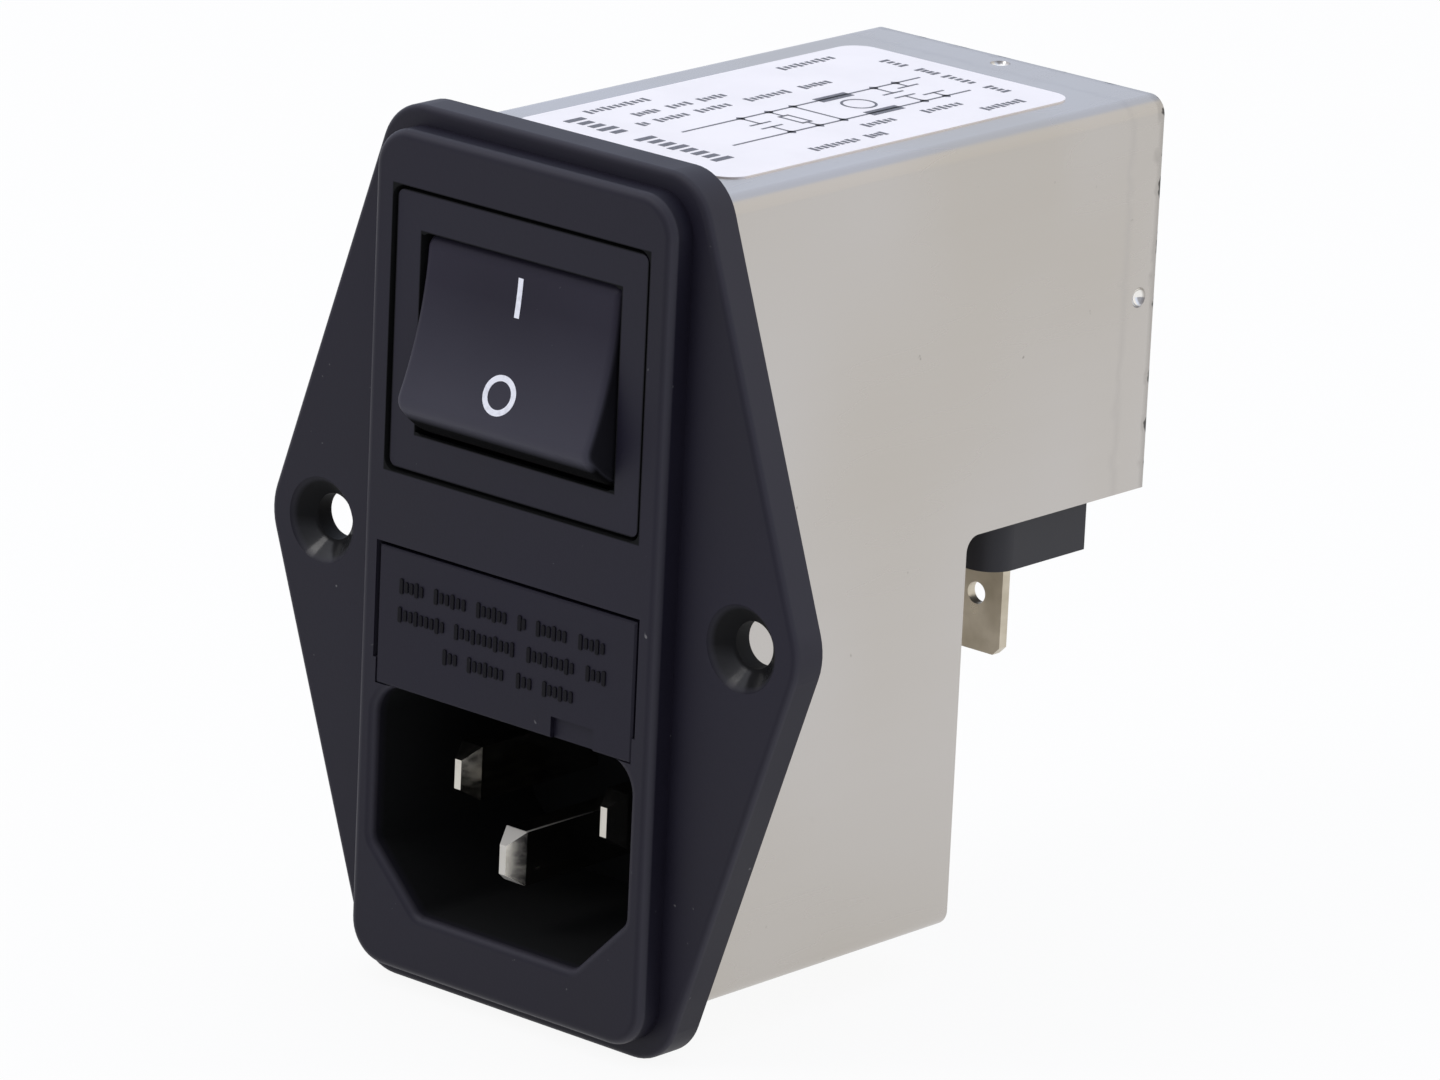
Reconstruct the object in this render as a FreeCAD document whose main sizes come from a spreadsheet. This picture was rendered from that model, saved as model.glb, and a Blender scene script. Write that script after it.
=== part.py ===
"""Panel-mount power entry module: C14 inlet, two-pole rocker switch, fuse drawer and line filter.

Millimetres. The front faces -Y, +X is to the right seen from the front and +Z is up. The origin is
on the panel plane (the back of the flange), midway between the two screw holes.
"""
import FreeCAD, Part
import math
import os
import re

import Sketcher

SIZES = {
    # Flange that lies on the panel, with an ear round each countersunk screw hole.
    "screw_pitch": 40.0,
    "ear_radius": 5.0,
    "flange_border": 1.35,
    "flange_overlap": 0.3,
    "flange_corner_radius": 4.0,
    "flange_thickness": 2.8,
    "flange_edge_round": 0.5,
    "screw_hole_diameter": 3.4,
    "countersink_diameter": 6.3,
    # Raised centre of the front.
    "boss_side_land": 1.75,
    "boss_top_land": 3.92,
    "boss_bottom_land": 4.55,
    "boss_corner_radius": 3.0,
    "boss_rise": 2.1,
    "boss_edge_round": 0.7,
    # Inlet cavity and its pins.
    "inlet_width": 24.5,
    "inlet_height": 16.4,
    "inlet_drop": 9.8,
    "inlet_chamfer": 4.7,
    "inlet_corner_radius": 2.4,
    "inlet_chamfer_round": 1.2,
    "inlet_depth": 17.0,
    "inlet_wall": 1.1,
    "inlet_floor": 2.0,
    "inlet_edge_round": 0.6,
    "pin_width": 2.0,
    "pin_height": 4.0,
    "pin_pitch": 14.0,
    "pin_below_inlet_top": 6.3,
    "earth_below_pins": 4.0,
    "pin_recess": 3.33,
    "earth_pin_recess": 0.7,
    "pin_tip_width": 0.6,
    "pin_tip_height": 2.2,
    "pin_tip_length": 1.4,
    "pin_tail": 5.0,
    "insert_clearance": 0.02,
    # Fuse drawer, its tray and the tunnel it slides in.
    "drawer_top": 0.45,
    "drawer_gap": 0.3,
    "drawer_lip_gap": 0.03,
    "drawer_lip_round": 0.2,
    "drawer_shoulder_drop": 7.93,
    "drawer_plate": 3.0,
    "drawer_stop_gap": 0.1,
    "drawer_edge_chamfer": 0.15,
    "pry_notch_start": 4.65,
    "pry_notch_width": 4.0,
    "pry_notch_height": 1.6,
    "pry_notch_depth": 0.4,
    "tray_wall": 0.7,
    "tray_end_wall": 0.9,
    "tunnel_clearance": 0.2,
    "tunnel_wall": 1.1,
    # Glass fuses and the leaf contacts that press on their caps.
    "fuse_pitch": 11.2,
    "fuse_drop": 4.9,
    "fuse_length": 20.0,
    "fuse_setback": 9.4,
    "fuse_glass_diameter": 4.8,
    "fuse_glass_wall": 0.6,
    "fuse_cap_length": 4.5,
    "fuse_cap_wall": 0.2,
    "fuse_wire_diameter": 0.3,
    "fuse_clearance": 0.1,
    "leaf_width": 3.0,
    "leaf_sheet": 0.4,
    "leaf_room": 2.6,
    "leaf_contact_length": 1.0,
    "leaf_ramp_length": 1.6,
    "leaf_tail_height": 2.3,
    "leaf_contact_gap": 0.08,
    # Switch bay and the switch's frame.
    "switch_rise": 16.43,
    "bay_side_ledge": 1.5,
    "bay_end_ledge": 1.3,
    "bay_depth": 2.2,
    "bay_corner_radius": 1.0,
    "bezel_gap": 0.32,
    "bezel_recess": 0.2,
    "switch_side_wall": 1.15,
    "switch_end_wall": 1.75,
    "switch_box_clearance": 0.2,
    "window_height": 14.7,
    "window_corner_radius": 0.8,
    "switch_depth": 17.9,
    "switch_floor": 1.5,
    # Rocker, on trunnions in the frame's side walls, with its sprung plungers.
    "rocker_width": 18.3,
    "rocker_face_length": 11.7,
    "rocker_face_reach": 5.1,
    "rocker_face_hollow": 0.6,
    "rocker_skirt_depth": 1.35,
    "rocker_wall": 1.2,
    "rocker_end_round": 1.1,
    "rocker_edge_round": 0.6,
    "rocker_tilt": 14.0,
    "rocker_clearance": 0.3,
    "pivot_depth": 3.9,
    "trunnion_diameter": 2.0,
    "trunnion_length": 1.2,
    "trunnion_clearance": 0.05,
    "pole_pitch": 10.0,
    "plunger_diameter": 2.8,
    "plunger_reach": 9.0,
    "plunger_tip_round": 1.0,
    "plunger_length": 8.8,
    "plunger_clearance": 0.05,
    "guide_wall": 0.8,
    "guide_reach": 4.5,
    "spring_wire": 0.4,
    "spring_pitch": 1.5,
    "spring_clearance": 0.1,
    # Rocking contacts and the switch's terminals.
    "rocking_axis_depth": 14.3,
    "rocking_front": 1.1,
    "rocking_bend": 13.0,
    "rocking_tilt": 8.0,
    "rocking_arm": 6.6,
    "rocking_width": 4.0,
    "rocking_sheet": 0.6,
    "knuckle_diameter": 1.6,
    "knuckle_clearance": 0.05,
    "contact_tip_reach": 5.6,
    "contact_tip_size": 2.2,
    "contact_tip_height": 0.6,
    "contact_gap": 0.2,
    "terminal_sheet": 0.8,
    "pivot_terminal_width": 5.0,
    "load_terminal_rise": 3.0,
    "terminal_tail": 5.0,
    # Filter can, its rear cover and the label on it.
    "can_rear_length": 19.8,
    "can_step_gap": 0.8,
    "can_step_rise": 0.57,
    "can_sheet": 0.6,
    "can_bend_radius": 1.35,
    "can_step_radius": 1.2,
    "plug_depth": 5.0,
    "plug_side_land": 0.05,
    "plug_top_land": 2.37,
    "plug_bottom_land": 0.9,
    "plug_clearance": 0.1,
    "dimple_diameter": 1.5,
    "dimple_depth": 0.5,
    "dimple_from_rear": 1.75,
    "dimple_rise": 15.2,
    "cover_sheet": 0.6,
    "cover_recess": 0.2,
    "cover_flange": 3.5,
    "cover_clearance": 0.05,
    "cover_bend_radius": 0.6,
    "label_width": 21.0,
    "label_length": 37.5,
    "label_setback": 4.8,
    "label_corner_radius": 2.0,
    "label_thickness": 0.1,
    # Terminal block under the step and its blade tabs.
    "block_side_inset": 1.9,
    "block_length": 10.35,
    "block_step_gap": 5.45,
    "block_drop": 4.4,
    "block_corner_radius": 2.2,
    "block_neck_inset": 0.8,
    "block_neck_clearance": 0.1,
    "tab_width": 4.8,
    "tab_root_width": 2.4,
    "tab_shoulder_depth": 2.0,
    "tab_sheet": 0.8,
    "tab_end_inset": 2.7,
    "tab_inset": 1.55,
    "tab_reach": 6.5,
    "tab_hole_diameter": 1.65,
    "tab_hole_from_tip": 4.3,
    "tab_chamfer": 0.6,
    "tab_solder_height": 0.8,
    # Filter parts on the circuit board.
    "board_rise": 4.2,
    "board_thickness": 1.6,
    "board_side_gap": 1.0,
    "board_front_gap": 1.0,
    "board_rear_gap": 0.4,
    "choke_front_gap": 0.48,
    "choke_core_diameter": 13.0,
    "choke_core_bore": 7.0,
    "choke_core_height": 6.0,
    "choke_winding_sheet": 0.8,
    "choke_winding_angle": 130.0,
    "choke_clearance": 0.02,
    "x_capacitor_width": 18.0,
    "x_capacitor_length": 6.0,
    "x_capacitor_height": 12.0,
    "x_capacitor_round": 0.6,
    "x_capacitor_rear_gap": 0.6,
    "y_capacitor_diameter": 7.0,
    "y_capacitor_thickness": 2.6,
    "y_capacitor_inset": 1.6,
    "y_capacitor_behind_tabs": 1.1,
    "y_capacitor_lift": 1.0,
    "lead_diameter": 0.6,
    "lead_pitch": 5.0,
    "resistor_diameter": 2.4,
    "resistor_length": 6.3,
    "resistor_front_gap": 2.95,
    "resistor_inset": 1.6,
    # Earth strap from the earth pin to the can.
    "strap_width": 3.6,
    "strap_sheet": 0.5,
    "strap_foot": 5.0,
}

# Distances that several pieces share, worked out from the sizes.
FACE = "(flange_thickness + boss_rise)"
ROCKER_RADIUS = "sqrt(rocker_face_length ^ 2 / 4 + rocker_face_reach ^ 2)"
WINDOW_HALF_WIDTH = "(rocker_width / 2 + rocker_clearance)"
SWITCH_HALF_WIDTH = f"({WINDOW_HALF_WIDTH} + switch_side_wall)"
SWITCH_HALF_HEIGHT = "(window_height / 2 + switch_end_wall)"
BAY_HALF_WIDTH = f"({SWITCH_HALF_WIDTH} + bay_side_ledge)"
BAY_HALF_HEIGHT = f"({SWITCH_HALF_HEIGHT} + bay_end_ledge)"
BAY_TOP = f"(switch_rise + {BAY_HALF_HEIGHT})"
INLET_BOTTOM = "(inlet_drop + inlet_height)"
PLUG_HALF_WIDTH = "(inlet_width / 2 + inlet_wall + plug_side_land)"
PLUG_TOP = f"({BAY_TOP} + plug_top_land)"
PLUG_BOTTOM = f"({INLET_BOTTOM} + inlet_wall + plug_bottom_land)"
CAN_HALF_INSIDE = f"({PLUG_HALF_WIDTH} + plug_clearance)"
CAN_HALF_WIDTH = f"({CAN_HALF_INSIDE} + can_sheet)"
CAN_TOP = f"({PLUG_TOP} + plug_clearance + can_sheet)"
CAN_BOTTOM = f"({PLUG_BOTTOM} + plug_clearance + can_sheet)"
BOSS_HALF_WIDTH = "(inlet_width / 2 + boss_side_land)"
BOSS_TOP = f"({BAY_TOP} + boss_top_land)"
BOSS_BOTTOM = f"({INLET_BOTTOM} + boss_bottom_land)"
FLANGE_HALF_END = f"({CAN_HALF_WIDTH} + flange_overlap)"
FLANGE_TOP = f"({BOSS_TOP} + flange_border)"
FLANGE_BOTTOM = f"({BOSS_BOTTOM} + flange_border)"
INLET_FLOOR_DEPTH = f"(inlet_depth - {FACE})"
INLET_BACK = f"({INLET_FLOOR_DEPTH} + inlet_floor)"
PIN_DROP = "(inlet_drop + pin_below_inlet_top)"
EARTH_DROP = f"({PIN_DROP} + earth_below_pins)"
FUSE_CAP_RADIUS = "(fuse_glass_diameter / 2 + fuse_cap_wall)"
FUSE_FRONT = f"(fuse_setback - {FACE})"
TRAY_RADIUS = f"({FUSE_CAP_RADIUS} + fuse_clearance)"
TRAY_HALF_WIDTH = f"(fuse_pitch / 2 + {TRAY_RADIUS} + tray_wall)"
TRAY_DROP = f"(fuse_drop + {TRAY_RADIUS} + tray_wall)"
TRAY_BACK = f"({FUSE_FRONT} + fuse_length + fuse_clearance + tray_end_wall)"
TUNNEL_HALF_WIDTH = f"({TRAY_HALF_WIDTH} + tunnel_clearance)"
TUNNEL_FLOOR_DROP = f"({TRAY_DROP} + tunnel_clearance)"
TUNNEL_ROOF = f"({FUSE_CAP_RADIUS} + leaf_room - fuse_drop)"
TUNNEL_BACK = f"({TRAY_BACK} + tunnel_clearance)"
PLATE_BACK = f"({FACE} - drawer_plate)"
DRAWER_HALF_WIDTH = "(inlet_width / 2 - drawer_lip_gap)"
DRAWER_BOTTOM = "(drawer_lip_gap - inlet_drop)"
LEAF_TAIL = "(leaf_contact_length / 2 + leaf_ramp_length)"
SWITCH_FLOOR = f"(switch_depth - {FACE})"
SWITCH_BACK = f"({SWITCH_FLOOR} + switch_floor)"
PIVOT = f"(pivot_depth - {FACE})"
ROCKING_AXIS = f"(rocking_axis_depth - {FACE})"
ROCKER_FACE_RADIUS = "(rocker_face_length ^ 2 / (8 * rocker_face_hollow) + rocker_face_hollow / 2)"
ROCKER_FACE_MIDDLE = "(rocker_face_reach - rocker_face_hollow)"
PLUNGER_START = "(plunger_reach - plunger_length)"
GUIDE_BORE = "(plunger_diameter / 2 + plunger_clearance)"
LOAD_FOOT = "(switch_rise - window_height / 2 + insert_clearance)"
TERMINAL_END = f"({SWITCH_BACK} + terminal_tail)"
CAN_STEP = f"({TUNNEL_BACK} + tunnel_wall + can_step_gap + can_sheet)"
CAN_BACK = f"({CAN_STEP} + can_rear_length)"
STEP_FLOOR = "(can_step_rise + can_sheet)"
BOARD_TOP = "(board_rise + board_thickness)"
BOARD_HALF_WIDTH = f"({CAN_HALF_INSIDE} - board_side_gap)"
BOARD_FRONT = f"({TERMINAL_END} + board_front_gap)"
BOARD_BACK = f"({CAN_BACK} - cover_recess - cover_sheet - board_rear_gap)"
CHOKE_LIFT = "(choke_winding_sheet + choke_clearance)"
CHOKE_MIDDLE = f"({TERMINAL_END} + choke_front_gap + choke_core_diameter / 2 + {CHOKE_LIFT})"
BLOCK_HALF_WIDTH = f"({CAN_HALF_WIDTH} - block_side_inset)"
BLOCK_FRONT = f"({CAN_STEP} + block_step_gap)"
BLOCK_BACK = f"({BLOCK_FRONT} + block_length)"
TAB_PITCH = f"({BLOCK_HALF_WIDTH} - tab_end_inset)"
TAB_FRONT = f"({BLOCK_FRONT} + tab_inset)"
TAB_TIP_DROP = "(block_drop - can_step_rise + tab_reach)"
TAB_TOP = f"({BOARD_TOP} + tab_solder_height)"

POLES = {"line": 1, "neutral": -1}
FUSE_ENDS = ("front", "rear")
WIRE_SIDES = 5
FULL_TURN = "360"
HALF_TURN = "180"
TOLERANCE = 1e-4

doc = FreeCAD.newDocument("power_entry_module")
sheet = doc.addObject("Spreadsheet::Sheet", "Sizes")
for row, (alias, size) in enumerate(SIZES.items(), start=1):
    sheet.set(f"A{row}", alias)
    sheet.set(f"B{row}", str(size))
    sheet.setAlias(f"B{row}", alias)
doc.recompute()

nodes = []


def formula(words):
    """Puts the sheet's name before each size that an expression names."""
    return re.sub(r"[a-z_]+", lambda word: f"Sizes.{word[0]}" if word[0] in SIZES else word[0], words)


def number(words):
    """The value of an expression over the sizes."""
    return float(sheet.evalExpression(formula(words)))


def bind(thing, **properties):
    """Ties properties to expressions, with a double underscore for each dot in a property's name."""
    for name, words in properties.items():
        thing.setExpression(name.replace("__", "."), formula(words))


def place(body, x="0", y="0", z="0", turn="0", axis=FreeCAD.Vector(1, 0, 0)):
    """Puts a piece at a point, turned about an axis through that point."""
    body.Placement = FreeCAD.Placement(FreeCAD.Vector(), FreeCAD.Rotation(axis, number(turn)))
    bind(body, Placement__Base__x=x, Placement__Base__y=y, Placement__Base__z=z)
    if number(turn):
        bind(body, Placement__Rotation__Angle=turn)


def new_body(label):
    """An empty sub-part, whose label is the name of its node."""
    body = doc.addObject("PartDesign::Body", label)
    body.Label = label
    nodes.append(body)
    return body


def sketch_on(body, plane, offset="0"):
    """A sketch on one of a body's own planes. The XZ plane faces -Y, so its offset runs to the front."""
    sketch = body.newObject("Sketcher::SketchObject", f"{body.Name}_outline")
    support = next(feature for feature in body.Origin.OriginFeatures if feature.Role == plane)
    sketch.AttachmentSupport = [(support, "")]
    sketch.MapMode = "FlatFace"
    bind(sketch, AttachmentOffset__Base__z=offset)
    return sketch


def hold(sketch, kind, *geometry, size):
    """A constraint whose size is an expression."""
    index = sketch.addConstraint(Sketcher.Constraint(kind, *geometry, number(size)))
    sketch.setExpression(f"Constraints[{index}]", formula(size))


def hold_point(sketch, geometry, point, x, y):
    """Holds a point of a sketch at two coordinates."""
    hold(sketch, "DistanceX", -1, 1, geometry, point, size=x)
    hold(sketch, "DistanceY", -1, 1, geometry, point, size=y)


def polygon(sketch, corners):
    """A closed outline of straight lines through corners given as pairs of expressions."""
    first = sketch.GeometryCount
    points = [FreeCAD.Vector(number(x), number(y), 0) for x, y in corners]
    for start, end in zip(points, points[1:] + points[:1]):
        sketch.addGeometry(Part.LineSegment(start, end), False)
    for index, (x, y) in enumerate(corners):
        following = first + (index + 1) % len(corners)
        sketch.addConstraint(Sketcher.Constraint("Coincident", first + index, 2, following, 1))
        hold_point(sketch, first + index, 1, x, y)
    return sketch


def rectangle(sketch, left, bottom, right, top):
    """A rectangle between two corners."""
    return polygon(sketch, [(left, bottom), (right, bottom), (right, top), (left, top)])


def rounded_rectangle(sketch, left, bottom, right, top, radius):
    """A rectangle whose corners are arcs, each tangent to its two sides."""
    first = sketch.GeometryCount
    round_size = number(radius)
    xs = (f"{left} + {radius}", f"{right} - {radius}")
    ys = (f"{bottom} + {radius}", f"{top} - {radius}")
    middles = [(xs[1], ys[0]), (xs[1], ys[1]), (xs[0], ys[1]), (xs[0], ys[0])]
    arcs = []
    for quarter, (x, y) in enumerate(middles):
        ring = Part.Circle(FreeCAD.Vector(number(x), number(y), 0), FreeCAD.Vector(0, 0, 1), round_size)
        arcs.append(Part.ArcOfCircle(ring, (quarter - 1) * math.pi / 2, quarter * math.pi / 2))
    for arc, following in zip(arcs, arcs[1:] + arcs[:1]):
        sketch.addGeometry(arc, False)
        sketch.addGeometry(Part.LineSegment(arc.EndPoint, following.StartPoint), False)
    for quarter, (x, y) in enumerate(middles):
        bend = first + 2 * quarter
        following = first + (2 * quarter + 2) % (2 * len(middles))
        sketch.addConstraint(Sketcher.Constraint("Tangent", bend, 2, bend + 1, 1))
        sketch.addConstraint(Sketcher.Constraint("Tangent", bend + 1, 2, following, 1))
        hold_point(sketch, bend, 3, x, y)
        hold(sketch, "Radius", bend, size=radius)
    return sketch


def circle(sketch, x, y, radius):
    """A circle about a point."""
    centre = FreeCAD.Vector(number(x), number(y), 0)
    index = sketch.addGeometry(Part.Circle(centre, FreeCAD.Vector(0, 0, 1), number(radius)), False)
    hold_point(sketch, index, 3, x, y)
    hold(sketch, "Radius", index, size=radius)
    return sketch


def pad(body, sketch, length, backwards=False, symmetric=False):
    """Adds the sketch's outline, along its plane's normal or against it."""
    feature = body.newObject("PartDesign::Pad", f"{body.Name}_pad")
    feature.Profile = sketch
    feature.SideType = "Symmetric" if symmetric else "One side"
    feature.Reversed = backwards
    bind(feature, Length=length)
    doc.recompute()
    return feature


def pocket(body, sketch, length, backwards=False, symmetric=False):
    """Cuts the sketch's outline, against its plane's normal or along it, and checks that it did cut."""
    before = body.Shape.Volume
    feature = body.newObject("PartDesign::Pocket", f"{body.Name}_pocket")
    feature.Profile = sketch
    feature.SideType = "Symmetric" if symmetric else "One side"
    feature.Reversed = backwards
    bind(feature, Length=length)
    doc.recompute()
    if not body.Shape.Volume < before - TOLERANCE:
        raise RuntimeError(f"{feature.Label} cuts nothing from {body.Label}")
    return feature


def revolve(body, sketch, angle=FULL_TURN):
    """Turns the sketch's outline about its upright axis, half of the angle to each side."""
    feature = body.newObject("PartDesign::Revolution", f"{body.Name}_turned")
    feature.Profile = sketch
    feature.ReferenceAxis = (sketch, ["V_Axis"])
    feature.Midplane = True
    bind(feature, Angle=angle)
    doc.recompute()
    return feature


def edges_where(feature, test):
    """The names of a feature's edges whose bounding boxes pass a test."""
    return [f"Edge{index}" for index, edge in enumerate(feature.Shape.Edges, start=1) if test(edge.BoundBox)]


def round_edges(body, radius, test):
    """Fillets the edges that pass a test."""
    base = body.Tip
    feature = body.newObject("PartDesign::Fillet", f"{body.Name}_fillet")
    feature.Base = (base, edges_where(base, test))
    bind(feature, Radius=radius)
    doc.recompute()
    return feature


def chamfer_edges(body, size, test):
    """Chamfers the edges that pass a test, at equal distances."""
    base = body.Tip
    feature = body.newObject("PartDesign::Chamfer", f"{body.Name}_chamfer")
    feature.Base = (base, edges_where(base, test))
    bind(feature, Size=size)
    doc.recompute()
    return feature


def shell(body, wall, open_test):
    """Hollows the body to a wall inside its faces, open at the faces that pass a test."""
    base = body.Tip
    faces = [f"Face{index}" for index, face in enumerate(base.Shape.Faces, start=1)
             if open_test(face.BoundBox)]
    feature = body.newObject("PartDesign::Thickness", f"{body.Name}_shell")
    feature.Base = (base, faces)
    feature.Reversed = True
    bind(feature, Value=wall)
    doc.recompute()
    return feature


def near(value, words):
    """Whether a measured value is the one an expression gives."""
    return abs(value - number(words)) < TOLERANCE


def flat_at(axis, words):
    """A test for what lies in a plane across an axis."""
    return lambda box: near(getattr(box, f"{axis}Min"), words) and near(getattr(box, f"{axis}Max"), words)


def along(axis):
    """A test for straight edges along an axis."""
    others = [other for other in "XYZ" if other != axis]
    return lambda box: all(getattr(box, f"{other}Length") < TOLERANCE for other in others)


def mirrored(sign, words):
    """An expression, or its opposite where the sign is negative."""
    return words if sign > 0 else f"-({words})"


def flange_outline(sketch):
    """Two ears round the screw holes, with straight flanks tangent to them up to flat ends."""
    half_pitch = "screw_pitch / 2"
    across = number(half_pitch) - number(FLANGE_HALF_END)
    heights = {1: FLANGE_TOP, -1: f"-{FLANGE_BOTTOM}"}
    lean = {}
    for side, height in heights.items():
        rise = abs(number(height))
        lean[side] = math.asin(number("ear_radius") / math.hypot(across, rise)) + math.atan2(across, rise)
    for sign in (1, -1):
        centre = FreeCAD.Vector(sign * number(half_pitch), 0, 0)
        ear = Part.Circle(centre, FreeCAD.Vector(0, 0, 1), number("ear_radius"))
        middle = 0 if sign > 0 else math.pi
        arc = Part.ArcOfCircle(ear, middle - lean[-sign], middle + lean[sign])
        ear_end = sign * number(FLANGE_HALF_END)
        end = FreeCAD.Vector(ear_end, number(heights[sign]), 0)
        start = FreeCAD.Vector(ear_end, number(heights[-sign]), 0)
        other_end = FreeCAD.Vector(-ear_end, number(heights[sign]), 0)
        lower = sketch.addGeometry(Part.LineSegment(start, arc.StartPoint), False)
        bend = sketch.addGeometry(arc, False)
        upper = sketch.addGeometry(Part.LineSegment(arc.EndPoint, end), False)
        sketch.addGeometry(Part.LineSegment(end, other_end), False)
        sketch.addConstraint(Sketcher.Constraint("Tangent", lower, 2, bend, 1))
        sketch.addConstraint(Sketcher.Constraint("Tangent", bend, 2, upper, 1))
        hold_point(sketch, bend, 3, mirrored(sign, half_pitch), "0")
        hold(sketch, "Radius", bend, size="ear_radius")
        hold_point(sketch, lower, 1, mirrored(sign, FLANGE_HALF_END), heights[-sign])
        hold_point(sketch, upper, 2, mirrored(sign, FLANGE_HALF_END), heights[sign])
    for index in range(sketch.GeometryCount):
        if isinstance(sketch.Geometry[index], Part.LineSegment) and index % 4 >= 2:
            following = (index + 1) % sketch.GeometryCount
            sketch.addConstraint(Sketcher.Constraint("Coincident", index, 2, following, 1))
    return sketch


def inlet_outline(sketch, wall="0"):
    """The inlet's opening, or that opening grown by a wall: square above, chamfered below."""
    half = f"inlet_width / 2 + {wall}"
    top = f"-inlet_drop + {wall}"
    bottom = f"-{INLET_BOTTOM} - {wall}"
    leg = f"(inlet_chamfer + {wall} * (2 - sqrt(2)))"
    return polygon(sketch, [
        (f"-({half})", top), (f"-({half})", f"{bottom} + {leg}"), (f"-({half}) + {leg}", bottom),
        (f"{half} - {leg}", bottom), (half, f"{bottom} + {leg}"), (half, top)])


def leaf_depth(end):
    """Where a leaf contact meets the middle of a fuse's front or rear cap."""
    if end == "front":
        return f"({FUSE_FRONT} + fuse_cap_length / 2)"
    return f"({FUSE_FRONT} + fuse_length - fuse_cap_length / 2)"


def switch_slots():
    """The cross-sections of the switch's terminals, as left, bottom, right and top expressions."""
    for sign in POLES.values():
        middle = mirrored(sign, "pole_pitch / 2")
        yield (f"{middle} - terminal_sheet / 2", "switch_rise - pivot_terminal_width / 2",
               f"{middle} + terminal_sheet / 2", "switch_rise + pivot_terminal_width / 2")
        yield (f"{middle} - rocking_width / 2", LOAD_FOOT,
               f"{middle} + rocking_width / 2", f"{LOAD_FOOT} + terminal_sheet")


def slot_with_clearance(sketch, left, bottom, right, top):
    """A slot that takes an insert of the given cross-section."""
    return rectangle(sketch, f"{left} - insert_clearance", f"{bottom} - insert_clearance",
                     f"{right} + insert_clearance", f"{top} + insert_clearance")


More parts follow.
